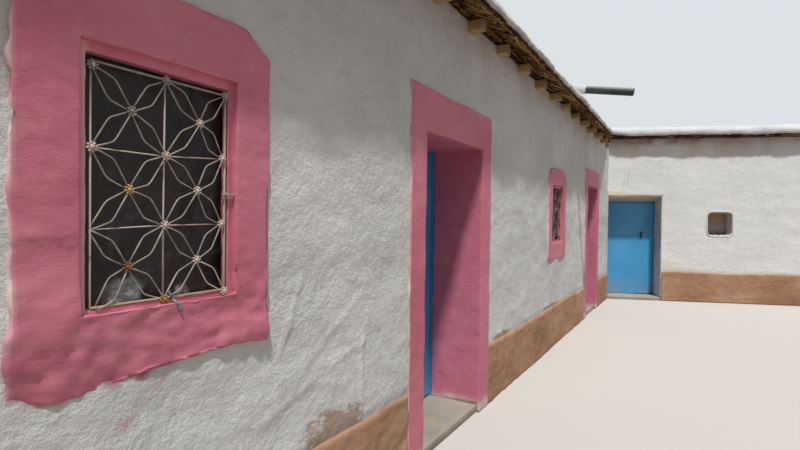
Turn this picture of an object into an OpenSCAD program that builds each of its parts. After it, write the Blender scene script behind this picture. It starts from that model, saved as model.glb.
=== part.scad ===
/* [Plan] */
// Length of the long wing along its courtyard face, from the inner corner
long_wing_l = 11300; // [11000:50:14000]
// Length of the short wing along its courtyard face, from the inner corner
short_wing_l = 6000; // [4500:50:9000]
// Depth of both wings over the walls
wing_depth = 4200; // [3400:50:5200]
// Thickness of the adobe walls
wall_t = 500; // [480:10:600]
// Angle by which the inner corner opens past a right angle
corner_splay = 20; // [0:1:25]

/* [Heights] */
// Underside of the roof beams
beam_seat_h = 2870; // [2700:10:3200]
// Height of the brown mud band at the foot of the walls
plinth_h = 500; // [300:10:700]
// Height of the mud band on the short wing's courtyard face
wing_plinth_h = 570; // [300:10:700]
// Thickness of the mud band
plinth_t = 18; // [6:1:24]
// Height of the floor and of the door sills
floor_h = 60; // [30:5:100]

/* [Roof] */
// Width of a roof beam
beam_w = 80; // [60:2:110]
// Height of a roof beam
beam_h = 90; // [70:2:120]
// Distance from beam to beam
beam_pitch = 600; // [450:10:800]
// Distance of the first beam from the inner corner
first_beam_at = 445; // [300:5:600]
// Length of a beam past the courtyard face
beam_tip_l = 120; // [80:5:120]
// Thickness of the layer of brushwood
brush_t = 100; // [60:5:130]
// Reach of the brushwood past the courtyard face of the long wing
brush_reach = 285; // [240:5:295]
// Drop of the brushwood's outer edge under the tops of the beams
brush_droop = 95; // [60:5:110]
// Thickness of the brushwood that lies on the wall of the short wing
wing_brush_t = 85; // [50:5:110]
// Reach of that brushwood past the short wing's courtyard face
wing_brush_reach = 200; // [40:5:210]
// Thickness of the earth roof
earth_t = 205; // [120:5:225]
// Height of the rounded coping over the brushwood
coping_t = 280; // [260:5:360]
// Reach of the coping past the courtyard face of the long wing
coping_reach = 300; // [300:5:340]
// Reach of the coping past the courtyard face of the short wing
wing_coping_reach = 220; // [220:5:280]
// Reach of the coping past the outer walls
side_coping_reach = 60; // [30:5:90]
// Width of the coping behind the wall face
coping_in = 350; // [300:10:450]

/* [Doors] */
// Distance of the first door's centre from the inner corner
door_1_at = 7250; // [7000:10:7400]
// Clear width of the first door
door_1_w = 950; // [800:10:1050]
// Distance of the third door's centre from the inner corner
door_3_at = 1785; // [1750:10:2000]
// Clear width of the third door
door_3_w = 870; // [780:10:1000]
// Clear width of the door beside the inner corner
door_2_w = 955; // [800:10:1000]
// Clear height of the two painted doorways
door_h = 2055; // [1900:5:2200]
// Clear height of the doorway beside the inner corner
door_2_h = 1985; // [1900:5:2150]
// Drop of the lintel over the door beside the inner corner
door_2_drop = 85; // [20:5:100]
// Depth from the wall face to the door frame
door_recess = 400; // [250:5:420]
// Width of the painted band beside a door
door_band_w = 190; // [100:5:250]
// Height of the painted band over a door
door_band_h = 268; // [150:2:300]

/* [Windows] */
// Distance of the first window's centre from the inner corner
window_1_at = 9493; // [9300:1:9700]
// Height of the first window's sill
window_1_sill = 1238; // [1000:2:1300]
// Clear height of the first window
window_1_h = 760; // [600:2:900]
// Depth from the wall face to the first window's frame
window_1_set_back = 4; // [2:1:120]
// Distance of the second window's centre from the inner corner
window_2_at = 4225; // [3800:5:4800]
// Height of the second window's sill
window_2_sill = 1244; // [1000:2:1300]
// Clear height of the second window
window_2_h = 682; // [600:2:900]
// Depth from the wall face to the second window's frame
window_2_set_back = 12; // [10:1:120]
// Clear width of both windows
window_w = 540; // [400:5:700]
// Width of the painted band left of a window
window_band_left = 157; // [120:1:230]
// Width of the painted band right of a window
window_band_right = 156; // [100:1:200]
// Height of the painted band over a window
window_band_top = 206; // [120:2:230]
// Height of the painted band under a window
window_band_foot = 199; // [120:1:240]
// Distance of the vent's centre from the inner corner
vent_at = 1996; // [1600:2:2600]
// Width of the vent
vent_w = 420; // [250:2:500]
// Height of the vent
vent_h = 440; // [250:2:500]
// Height of the vent's sill
vent_sill = 1253; // [900:1:1500]
// Radius of the vent's corners
vent_r = 75; // [20:1:110]
// Depth from the wall face to the board in the vent
vent_depth = 230; // [100:5:350]

/* [Spout] */
// Distance of the spout from the inner corner
spout_at = 3500; // [3000:10:6000]
// Outer diameter of the spout
spout_d = 100; // [60:2:120]
// Wall of the spout
spout_wall = 4; // [2:1:8]
// Reach of the spout past the wall face
spout_reach = 780; // [500:10:1000]
// Height of the spout's axis over the brushwood at the wall face
spout_rise = 210; // [190:1:225]
// Fall of the spout in degrees
spout_fall = 9.5; // [4:0.5:12]

/* [Hidden] */

// Finishes
lime_white = "#e4e4e0";
mud_brown = "#a57a5b";
earth_brown = "#9a7556";
rose_paint = "#c4667a";
bare_plaster = "#9c948b";
door_blue = "#2f86bf";
pole_wood = "#a8895a";
brush_brown = "#6b4a2b";
pipe_green = "#3d4a46";
grille_steel = "#8d8880";
sheet_dark = "#2a2226";
screed_grey = "#a89f92";
old_card = "#76654f";

// Small sizes
eps = 1;
seat_gap = 0.3;
lining_t = 20;
band_proud = 25;
half_wall = wall_t / 2;
beam_top_h = beam_seat_h + beam_h;
brush_top_h = beam_top_h + brush_t;
wing_brush_top_h = brush_top_h + wing_brush_t;
earth_top_h = brush_top_h + earth_t;
coping_top_h = brush_top_h + coping_t;
spout_h = brush_top_h + spout_rise;
bore_fn = 48;

// Plan of the two wings, with the inner corner at zero: the corners run round the outside
// from the west end of the courtyard face, and edge i runs from corner i to the next one
along_wing = [sin(corner_splay), -cos(corner_splay)];
into_wing = [cos(corner_splay), sin(corner_splay)];
edge_dir = [[1, 0], along_wing, into_wing, -along_wing, [-1, 0], [0, -1]];
edge_point = [[0, 0], [0, 0], short_wing_l * along_wing, wing_depth * into_wing,
    [0, wing_depth], [-long_wing_l, 0]];
edge_count = len(edge_dir);

function outward(i) = [edge_dir[i].y, -edge_dir[i].x];
function cross_2d(a, b) = a.x * b.y - a.y * b.x;
function meet(p, u, q, v) = p + u * cross_2d(q - p, v) / cross_2d(u, v);
function before(i) = (i + edge_count - 1) % edge_count;
function moved(i, reach) = edge_point[i] + reach * outward(i);

// Corners of the plan with each edge moved outwards by its own reach
function ring(reach) = [for (i = [0:edge_count - 1])
    meet(moved(before(i), reach[before(i)]), edge_dir[before(i)], moved(i, reach[i]), edge_dir[i])];
function even(reach) = [for (i = [0:edge_count - 1]) reach];

coping_reaches = [coping_reach, wing_coping_reach, side_coping_reach, side_coping_reach,
    side_coping_reach, side_coping_reach];
coping_ring = ring(coping_reaches);
coping_xs = [for (p = coping_ring) p.x];
coping_ys = [for (p = coping_ring) p.y];
middle = [(min(coping_xs) + max(coping_xs)) / 2, (min(coping_ys) + max(coping_ys)) / 2, 0];

// Moves a piece from the inner corner's frame to the part's own
module placed() {
    translate(-middle) children();
}

// Frame of the short wing: x along its courtyard face, y into the wing
module in_wing() {
    rotate([0, 0, corner_splay - 90]) children();
}

module prism(points, low, high) {
    translate([0, 0, low]) linear_extrude(height = high - low) polygon(points);
}

// Mitred strip along edge i between two reaches
module strip(i, outer, inner, low, high) {
    a = ring(even(outer));
    b = ring(even(inner));
    j = (i + 1) % edge_count;
    prism([a[i], a[j], b[j], b[i]], low, high);
}

module box(low, high) {
    translate(low) cube(high - low);
}

// Openings in the walls
door_1_cut_w = door_1_w + 2 * lining_t;
door_3_cut_w = door_3_w + 2 * lining_t;
door_2_cut_w = door_2_w + 2 * lining_t;
door_cut_h = door_h + lining_t;
door_2_cut_h = door_2_h + lining_t;
door_2_at = door_2_cut_w / 2;
door_1_left = -door_1_at - door_1_cut_w / 2;
door_1_right = -door_1_at + door_1_cut_w / 2;
door_3_left = -door_3_at - door_3_cut_w / 2;
door_3_right = -door_3_at + door_3_cut_w / 2;

// Wall of the long wing's courtyard face between two places along it
module front_wall_part(from, to, low) {
    intersection() {
        strip(0, 0, -wall_t, low, beam_seat_h);
        box([from, -eps, low], [to, wall_t + eps, beam_seat_h]);
    }
}

module window_cut(at, sill, height) {
    box([-at - window_w / 2 - lining_t, -eps, sill - lining_t],
        [-at + window_w / 2 + lining_t, wall_t + eps, sill + height + lining_t]);
}

module front_wall_west() {
    color(lime_white) placed() difference() {
        front_wall_part(-long_wing_l - eps, door_1_left, 0);
        window_cut(window_1_at, window_1_sill, window_1_h);
    }
}

module front_wall_over_doors() {
    color(lime_white) placed() {
        front_wall_part(door_1_left, door_1_right, door_cut_h);
        front_wall_part(door_3_left, door_3_right, door_cut_h);
    }
}

module front_wall_middle() {
    color(lime_white) placed() difference() {
        front_wall_part(door_1_right, door_3_left, 0);
        window_cut(window_2_at, window_2_sill, window_2_h);
    }
}

// The last pier also closes the wedge between the two wings, up to the jamb of the corner door
inner_ring = ring(even(-wall_t));
half_ring = ring(even(-half_wall));
wedge_tip = wall_t * into_wing;

module front_wall_corner() {
    color(lime_white) placed() difference() {
        prism([[door_3_right, 0], [0, 0], wedge_tip, inner_ring[1], [door_3_right, wall_t]],
            0, beam_seat_h);
        corner_beam_body(seat_gap);
    }
}

// Full wall up to the beams, and its outer half up to the top of the brushwood
module plain_wall(i) {
    strip(i, 0, -wall_t, 0, beam_seat_h);
    strip(i, 0, -half_wall, beam_seat_h - eps, brush_top_h);
}

module back_wall() {
    color(lime_white) placed() difference() {
        plain_wall(4);
        corner_beam_body(seat_gap);
    }
}

module west_end_wall() {
    color(lime_white) placed() plain_wall(5);
}

module wing_back_wall() {
    color(lime_white) placed() plain_wall(3);
}

module wing_end_wall() {
    color(lime_white) placed() plain_wall(2);
}

// Upper, outer half of the short wing's courtyard wall: it starts at the long wing's face
function wing_top_start() = meet([0, 0], [1, 0], moved(1, -half_wall), along_wing);

module wing_front_top(from, to) {
    intersection() {
        prism([[0, 0], edge_point[2], half_ring[2], wing_top_start()], beam_seat_h - eps, brush_top_h);
        in_wing() box([from, -wall_t, beam_seat_h - eps], [to, wall_t, brush_top_h]);
    }
}

module wing_wall_over_door() {
    color(lime_white) placed() {
        in_wing() box([0, 0, door_2_cut_h], [door_2_cut_w, wall_t, beam_seat_h]);
        wing_front_top(-wing_depth, door_2_cut_w);
    }
}

module vent_outline(gap) {
    w = vent_w / 2 - gap;
    h = vent_h / 2 - gap;
    r = vent_r - gap;
    square([2 * w, 2 * (h - r)], center = true);
    square([2 * (w - r), 2 * h], center = true);
    for (x = [-1, 1], y = [-1, 1]) {
        translate([x * (w - r), y * (h - r)]) circle(r = r, $fn = bore_fn);
    }
}

module vent_body(gap, front, back) {
    in_wing() translate([vent_at, back, vent_sill + vent_h / 2]) rotate([90, 0, 0])
        linear_extrude(height = back - front) vent_outline(gap);
}

module wing_front_wall() {
    color(lime_white) placed() difference() {
        union() {
            intersection() {
                strip(1, 0, -wall_t, 0, beam_seat_h);
                in_wing() box([door_2_cut_w, -eps, 0], [2 * short_wing_l, wall_t + eps, beam_seat_h]);
            }
            wing_front_top(door_2_cut_w, 2 * short_wing_l);
        }
        vent_body(0, -eps, wall_t + eps);
    }
}

module floor() {
    color(screed_grey) placed() prism(inner_ring, 0, floor_h);
}

// One sill from face to face of the wall, under the frame and between the linings
module sill(at, cut_w) {
    box([at - cut_w / 2, 0, 0], [at + cut_w / 2, wall_t, floor_h]);
}

module door_sills() {
    color(screed_grey) placed() {
        sill(-door_1_at, door_1_cut_w);
        sill(-door_3_at, door_3_cut_w);
        in_wing() sill(door_2_at, door_2_cut_w);
    }
}

// Mud band at the foot of the walls, cut back to the painted bands of the doors
module plinth_part(i, from, to) {
    intersection() {
        strip(i, plinth_t, 0, 0, plinth_h);
        box([from, -wall_t, 0], [to, wall_t, plinth_h]);
    }
}

module plinth_courtyard() {
    color(mud_brown) placed() {
        plinth_part(0, -2 * long_wing_l, -door_1_at - door_1_w / 2 - door_band_w);
        plinth_part(0, -door_1_at + door_1_w / 2 + door_band_w, -door_3_at - door_3_w / 2 - door_band_w);
        plinth_part(0, -door_3_at + door_3_w / 2 + door_band_w, 0);
        intersection() {
            strip(1, plinth_t, 0, 0, wing_plinth_h);
            in_wing() box([door_2_cut_w, -wall_t, 0], [2 * short_wing_l, wall_t, wing_plinth_h]);
        }
    }
}

module plinth_rear() {
    color(mud_brown) placed() for (i = [2, 4]) {
        strip(i, plinth_t, 0, 0, plinth_h);
    }
}

module plinth_sides() {
    color(mud_brown) placed() for (i = [3, 5]) {
        strip(i, plinth_t, 0, 0, plinth_h);
    }
}

// Roof beams of the long wing: the ones near the corner stop over the corner beam
long_beam_xs = [for (x = [first_beam_at:beam_pitch:long_wing_l - half_wall - beam_w]) -x];
beam_joint = 8;

module long_wing_beams() {
    color(pole_wood) placed() difference() {
        for (x = long_beam_xs) {
            box([x - beam_w / 2, -beam_tip_l, beam_seat_h],
                [x + beam_w / 2, wing_depth - half_wall, beam_top_h]);
        }
        in_wing() box([-2 * wing_depth, -beam_joint, beam_seat_h - eps],
            [0, 2 * wing_depth, beam_top_h + eps]);
    }
}

// Beams of the short wing: past the corner they run from the corner beam to the outer walls
wing_beam_us = [for (u = [-floor(wing_depth / beam_pitch) * beam_pitch + beam_pitch / 2
    : beam_pitch : short_wing_l - half_wall - beam_w]) u];

module wing_beams() {
    color(pole_wood) placed() intersection() {
        in_wing() for (u = wing_beam_us) {
            box([u - beam_w / 2, u < 0 ? beam_joint : half_wall, beam_seat_h],
                [u + beam_w / 2, wing_depth, beam_top_h]);
        }
        prism(half_ring, beam_seat_h, beam_top_h);
    }
}

// Stout beam from the inner corner to the back wall, under the beams of both wings
corner_beam_w = 150;
corner_beam_h = 200;
corner_beam_bearing = 220;

module corner_beam_body(gap) {
    near = wall_t / cos(corner_splay) - corner_beam_bearing;
    far = (wing_depth - wall_t) / cos(corner_splay) + corner_beam_bearing;
    in_wing() box([-far - gap, -corner_beam_w / 2 - gap, beam_seat_h - corner_beam_h - gap],
        [-near + gap, corner_beam_w / 2 + gap, beam_seat_h + (gap > 0 ? eps : 0)]);
}

module corner_beam() {
    color(pole_wood) placed() corner_beam_body(0);
}

// Blocks of wall between the beams, over the courtyard face of the long wing
fill_ends = concat([0], long_beam_xs, [-long_wing_l]);

module beam_fill() {
    color(lime_white) placed() for (i = [0:len(fill_ends) - 2]) {
        first = i == 0 ? wing_depth : fill_ends[i] - beam_w / 2;
        last = i == len(fill_ends) - 2 ? -2 * long_wing_l : fill_ends[i + 1] + beam_w / 2;
        intersection() {
            fill_outline();
            box([last, -eps, beam_seat_h], [first, wall_t, beam_top_h]);
        }
    }
}

module fill_outline() {
    prism([[-long_wing_l, 0], [0, 0], wing_top_start(), half_ring[1], half_ring[0]],
        beam_seat_h, beam_top_h);
}

// Brushwood on the beams, inside the upper half of the walls
module roof_brushwood() {
    b = half_ring;
    color(brush_brown) placed() prism([[-long_wing_l, 0], wing_top_start(), b[2], b[3],
        b[4], b[5], b[0]], beam_top_h, brush_top_h);
}

// Brushwood past the courtyard face: level as far as the beam tips reach, then it droops
eaves_bend = 120;
nose_low = beam_top_h - brush_droop + 35;
brush_edge_h = brush_top_h - (brush_top_h - nose_low) * (brush_reach - eaves_bend)
    / (coping_reach - eaves_bend);
eaves_profile = [[0, beam_top_h], [eaves_bend, beam_top_h], [brush_reach, beam_top_h - brush_droop],
    [brush_reach, brush_edge_h], [eaves_bend, brush_top_h], [0, brush_top_h]];

// Profile swept along edge i, as x outwards from the wall face, z up
module sweep(i, profile) {
    run = long_wing_l + short_wing_l + wing_depth;
    turn = atan2(edge_dir[i].y, edge_dir[i].x);
    translate([edge_point[i].x, edge_point[i].y, 0]) rotate([0, 0, turn]) rotate([90, 0, -90])
        translate([0, 0, -run]) linear_extrude(height = 2 * run)
            polygon(profile);
}

// The same over the courtyard, from the west end to the short wing's face
module under_eaves(reach, profile, low) {
    side = [-long_wing_l, -reach - eps];
    far = meet(side, [1, 0], [0, 0], along_wing);
    intersection() {
        prism([side, far, [0, 0], [-long_wing_l, 0]], low - eps, brush_top_h);
        sweep(0, profile);
    }
}

module eaves_brushwood() {
    color(brush_brown) placed() under_eaves(brush_reach, eaves_profile, beam_top_h - brush_droop);
}

// Brushwood on top of the short wing's courtyard wall, under its coping
wing_brush_in = 200;

// Where edge 1, moved outwards, meets the mitre of the copings at corner i
function on_mitre(i, reach) = meet(coping_ring[i], ring(even(-coping_in))[i] - coping_ring[i],
    moved(1, reach), along_wing);

module wing_eaves_brushwood() {
    color(brush_brown) placed() prism([on_mitre(1, wing_brush_reach), on_mitre(2, wing_brush_reach),
        on_mitre(2, -wing_brush_in), on_mitre(1, -wing_brush_in)], brush_top_h, wing_brush_top_h);
}

module earth_roof() {
    color(earth_brown) placed() prism(ring(even(-coping_in)), brush_top_h, earth_top_h);
}

// Copings: a rounded ridge of mud on the edge of the roof, as x outwards from the wall face, z up
crest_x = -coping_in * 0.2;
crest_back = [[crest_x, coping_top_h], [-coping_in * 0.5, coping_top_h - coping_t * 0.06],
    [-coping_in, earth_top_h]];
nose_top = nose_low + 62;
front_rise = coping_top_h - coping_t * 0.04 - nose_top;
front_slope = [[coping_reach, nose_top], [coping_reach * 0.667, nose_top + front_rise * 0.342],
    [coping_reach * 0.333, nose_top + front_rise * 0.684],
    [coping_reach * 0.117, nose_top + front_rise * 0.895], [0, nose_top + front_rise]];
front_profile = concat([[-coping_in, brush_top_h], [eaves_bend, brush_top_h],
    [coping_reach, nose_low]], front_slope, crest_back);
wing_profile = concat([[-coping_in, brush_top_h], [-wing_brush_in, brush_top_h],
    [-wing_brush_in, wing_brush_top_h], [wing_coping_reach, wing_brush_top_h],
    [wing_coping_reach, brush_top_h + coping_t * 0.62],
    [wing_coping_reach * 0.6, brush_top_h + coping_t * 0.82],
    [0, coping_top_h - coping_t * 0.05]], crest_back);
side_profile = concat([[-coping_in, brush_top_h], [side_coping_reach, brush_top_h],
    [side_coping_reach, brush_top_h + coping_t * 0.72],
    [side_coping_reach * 0.6, brush_top_h + coping_t * 0.91],
    [0, coping_top_h - coping_t * 0.02]], crest_back);

// Ridge along edge i, with mitred ends
module coping(i, profile, low) {
    a = coping_ring;
    b = ring(even(-coping_in));
    j = (i + 1) % edge_count;
    intersection() {
        prism([a[i], a[j], b[j], b[i]], low, coping_top_h + eps);
        sweep(i, profile);
    }
}

// Frame of the spout: z runs out along its axis from the wall face
module at_spout() {
    translate([-spout_at, 0, spout_h]) rotate([90 + spout_fall, 0, 0]) children();
}

spout_in = 360;
collar_d = spout_d + 50;
collar_out = 200;
collar_in = 120;

module front_coping() {
    color(lime_white) placed() difference() {
        union() {
            coping(0, front_profile, brush_top_h - eps);
            under_eaves(coping_reach, front_profile, nose_low);
        }
        at_spout() translate([0, 0, -spout_in - eps])
            cylinder(d = spout_d + 2 * seat_gap, h = spout_reach + spout_in, $fn = bore_fn);
        at_spout() translate([0, 0, -collar_in - seat_gap])
            cylinder(d = collar_d + 2 * seat_gap, h = spout_reach, $fn = bore_fn);
    }
}

module wing_coping() {
    color(lime_white) placed() coping(1, wing_profile, brush_top_h);
}

module rear_coping() {
    color(lime_white) placed() for (i = [2, 4]) {
        coping(i, side_profile, brush_top_h);
    }
}

// The west end's ridge falls with the front one where they meet
module side_coping() {
    sky = coping_top_h + 2 * eps;
    out = coping_reach + 2 * eps;
    color(lime_white) placed() {
        coping(3, side_profile, brush_top_h);
        difference() {
            coping(5, side_profile, brush_top_h);
            sweep(0, concat([[0, sky], [out, sky], [out, nose_top]], front_slope));
        }
    }
}

module spout_pipe() {
    color(pipe_green) placed() at_spout() difference() {
        translate([0, 0, -spout_in]) cylinder(d = spout_d, h = spout_reach + spout_in, $fn = bore_fn);
        translate([0, 0, -spout_in - eps])
            cylinder(d = spout_d - 2 * spout_wall, h = spout_reach + spout_in + 2 * eps, $fn = bore_fn);
    }
}

module spout_collar() {
    color(lime_white) placed() at_spout() difference() {
        translate([0, 0, -collar_in]) cylinder(d = collar_d, h = collar_in + collar_out, $fn = bore_fn);
        translate([0, 0, -collar_in - eps])
            cylinder(d = spout_d + 2 * seat_gap, h = collar_in + collar_out + 2 * eps, $fn = bore_fn);
    }
}

// Windows, drawn with x across the opening from its centre, y into the wall
window_frame_w = 25;
window_frame_t = 25;
lattice_pitch = 116;
grille_bar = 8;
sheet_t = 4;
sheet_edge = 6;
band_clip = [118, 90];

module window_surround(sill, height, set_back) {
    left = -window_w / 2 - window_band_left;
    right = window_w / 2 + window_band_right;
    top = sill + height + window_band_top;
    foot = sill - window_band_foot;
    difference() {
        union() {
            rotate([90, 0, 0]) linear_extrude(height = band_proud) polygon([[left, foot],
                [right, foot], [right, top - band_clip.y], [right - band_clip.x, top],
                [left + band_clip.x, top], [left, top - band_clip.y]]);
            box([-window_w / 2 - lining_t, -eps, sill - lining_t],
                [window_w / 2 + lining_t, set_back, sill + height + lining_t]);
        }
        box([-window_w / 2, -band_proud - eps, sill], [window_w / 2, set_back + eps, sill + height]);
    }
}

// Steel frame with the lattice inside it
module window_grille(sill, height, set_back) {
    low = [-window_w / 2 - lining_t, set_back, sill - lining_t];
    high = [window_w / 2 + lining_t, set_back + window_frame_t, sill + height + lining_t];
    face = window_frame_w + lining_t;
    bar_y = set_back + window_frame_t / 2 - grille_bar / 2;
    difference() {
        box(low, high);
        box(low + [face, -eps, face], high + [-face, eps, -face]);
    }
    for (k = [-1, 0, 1]) {
        translate([k * lattice_pitch, 0, 0])
            box([-grille_bar / 2, bar_y, low.z + face - eps], [grille_bar / 2, bar_y + grille_bar,
                high.z - face + eps]);
    }
    for (k = [1, 2]) {
        z = low.z + (high.z - low.z) * k / 3;
        box([low.x + face - eps, bar_y, z - grille_bar / 2],
            [high.x - face + eps, bar_y + grille_bar, z + grille_bar / 2]);
    }
}

// Dark sheet that hangs behind the frame
module window_sheet(sill, height, set_back) {
    y = set_back + window_frame_t + seat_gap;
    edge = lining_t - sheet_edge;
    box([-window_w / 2 - edge, y, sill - edge], [window_w / 2 + edge, y + sheet_t, sill + height + edge]);
}

module window_1_surround() {
    color(rose_paint) placed() translate([-window_1_at, 0, 0])
        window_surround(window_1_sill, window_1_h, window_1_set_back);
}

module window_1_grille() {
    color(grille_steel) placed() translate([-window_1_at, 0, 0])
        window_grille(window_1_sill, window_1_h, window_1_set_back);
}

module window_1_sheet() {
    color(sheet_dark) placed() translate([-window_1_at, 0, 0])
        window_sheet(window_1_sill, window_1_h, window_1_set_back);
}

module window_2_surround() {
    color(rose_paint) placed() translate([-window_2_at, 0, 0])
        window_surround(window_2_sill, window_2_h, window_2_set_back);
}

module window_2_grille() {
    color(grille_steel) placed() translate([-window_2_at, 0, 0])
        window_grille(window_2_sill, window_2_h, window_2_set_back);
}

module window_2_sheet() {
    color(sheet_dark) placed() translate([-window_2_at, 0, 0])
        window_sheet(window_2_sill, window_2_h, window_2_set_back);
}

vent_board_t = 18;

module vent_board() {
    color(old_card) placed() vent_body(seat_gap, vent_depth, vent_depth + vent_board_t);
}

// Doors, drawn with x across the opening from its centre, y into the wall
frame_face = 35;
frame_d = 45;
leaf_t = 36;
leaf_gap = 6;
sheet_steel_t = 2;
rail_w = 35;
knuckle_r = 9;
pin_r = 5;
knuckle_l = 45;
pin_l = 36;
hinge_plate_t = 3;
latch_size = [110, 12, 46];
latch_in = 225;
latch_h = 1215;

function frame_back() = door_recess + frame_d;
function leaf_left(w) = -(w / 2 + lining_t - frame_face) + leaf_gap;
function hinge_x(w) = leaf_left(w) - leaf_gap / 2;
function hinge_y() = frame_back() + knuckle_r;
function hinge_zs(h) = [floor_h + 280, h - 330];

// Painted plaster band on the wall and the lining of the opening
module door_surround(w, h) {
    difference() {
        union() {
            box([-w / 2 - door_band_w, -band_proud, 0], [w / 2 + door_band_w, 0, h + door_band_h]);
            box([-w / 2 - lining_t, -eps, floor_h], [w / 2 + lining_t, door_recess, h + lining_t]);
        }
        box([-w / 2, -band_proud - eps, -eps], [w / 2, door_recess + eps, h]);
    }
}

// Bare plaster lining whose lintel drops towards the frame
module plain_surround(w, h) {
    difference() {
        box([-w / 2 - lining_t, 0, floor_h], [w / 2 + lining_t, door_recess, h + lining_t]);
        translate([-w / 2, 0, 0]) rotate([90, 0, 90]) linear_extrude(height = w)
            polygon([[-eps, 0], [door_recess + eps, 0], [door_recess + eps, h - door_2_drop],
                [-eps, h]]);
    }
}

// Steel frame against the wall, with the lower half of each hinge
module door_frame(w, h, drop) {
    half = w / 2 + lining_t;
    difference() {
        box([-half, door_recess, floor_h], [half, frame_back(), h + lining_t]);
        box([-half + frame_face, door_recess - eps, floor_h - eps],
            [half - frame_face, frame_back() + eps, h - drop + lining_t - frame_face]);
    }
    for (z = hinge_zs(h)) {
        translate([hinge_x(w), hinge_y(), z]) {
            cylinder(r = knuckle_r, h = knuckle_l, $fn = bore_fn);
            cylinder(r = pin_r, h = knuckle_l + pin_l, $fn = bore_fn);
        }
        box([-half, frame_back() - eps, z], [hinge_x(w), frame_back() + hinge_plate_t, z + knuckle_l]);
    }
}

// Sheet steel on a frame of rails, with the upper half of each hinge and a bolt
module door_leaf(w, h, drop) {
    left = leaf_left(w);
    right = -left;
    low = floor_h + leaf_gap;
    high = h - drop + lining_t - frame_face - leaf_gap;
    front = frame_back() - leaf_t;
    rail_y = front + sheet_steel_t;
    middle_z = (low + high) / 2;
    difference() {
        union() {
            box([left, front, low], [right, rail_y, high]);
            box([left, rail_y - eps, low], [right, frame_back(), high]);
        }
        for (z = [[low, middle_z], [middle_z, high]]) {
            box([left + rail_w, rail_y, z[0] + (z[0] == low ? rail_w : rail_w / 2)],
                [right - rail_w, frame_back() + eps, z[1] - (z[1] == high ? rail_w : rail_w / 2)]);
        }
    }
    for (z = hinge_zs(h)) {
        difference() {
            union() {
                translate([hinge_x(w), hinge_y(), z + knuckle_l + seat_gap])
                    cylinder(r = knuckle_r, h = knuckle_l, $fn = bore_fn);
                box([hinge_x(w), frame_back() - eps, z + knuckle_l + seat_gap],
                    [left + rail_w, frame_back() + hinge_plate_t, z + 2 * knuckle_l + seat_gap]);
            }
            translate([hinge_x(w), hinge_y(), z])
                cylinder(r = pin_r + seat_gap, h = 3 * knuckle_l, $fn = bore_fn);
        }
    }
    translate([right - latch_in - latch_size.x / 2, front - latch_size.y, latch_h])
        cube(latch_size + [0, eps, 0]);
}

module at_door_1() {
    translate([-door_1_at, 0, 0]) children();
}

module at_door_2() {
    in_wing() translate([door_2_at, 0, 0]) children();
}

module at_door_3() {
    translate([-door_3_at, 0, 0]) children();
}

module door_1_surround() {
    color(rose_paint) placed() at_door_1() door_surround(door_1_w, door_h);
}

module door_1_frame() {
    color(door_blue) placed() at_door_1() door_frame(door_1_w, door_h, 0);
}

module door_1_leaf() {
    color(door_blue) placed() at_door_1() door_leaf(door_1_w, door_h, 0);
}

module door_2_surround() {
    color(bare_plaster) placed() at_door_2() plain_surround(door_2_w, door_2_h);
}

module door_2_frame() {
    color(door_blue) placed() at_door_2() door_frame(door_2_w, door_2_h, door_2_drop);
}

module door_2_leaf() {
    color(door_blue) placed() at_door_2() door_leaf(door_2_w, door_2_h, door_2_drop);
}

module door_3_surround() {
    color(rose_paint) placed() at_door_3() door_surround(door_3_w, door_h);
}

module door_3_frame() {
    color(door_blue) placed() at_door_3() door_frame(door_3_w, door_h, 0);
}

module door_3_leaf() {
    color(door_blue) placed() at_door_3() door_leaf(door_3_w, door_h, 0);
}

front_wall_west();
front_wall_over_doors();
front_wall_middle();
front_wall_corner();
back_wall();
west_end_wall();
wing_wall_over_door();
wing_front_wall();
wing_back_wall();
wing_end_wall();
floor();
door_sills();
plinth_courtyard();
plinth_rear();
plinth_sides();
beam_fill();
long_wing_beams();
wing_beams();
corner_beam();
roof_brushwood();
eaves_brushwood();
wing_eaves_brushwood();
earth_roof();
front_coping();
wing_coping();
rear_coping();
side_coping();
spout_pipe();
spout_collar();
window_1_surround();
window_1_grille();
window_1_sheet();
window_2_surround();
window_2_grille();
window_2_sheet();
vent_board();
door_1_surround();
door_1_frame();
door_1_leaf();
door_2_surround();
door_2_frame();
door_2_leaf();
door_3_surround();
door_3_frame();
door_3_leaf();
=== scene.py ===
import math
import random
from collections import namedtuple

import bmesh
import bpy
from mathutils import Matrix, Vector, noise


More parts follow.
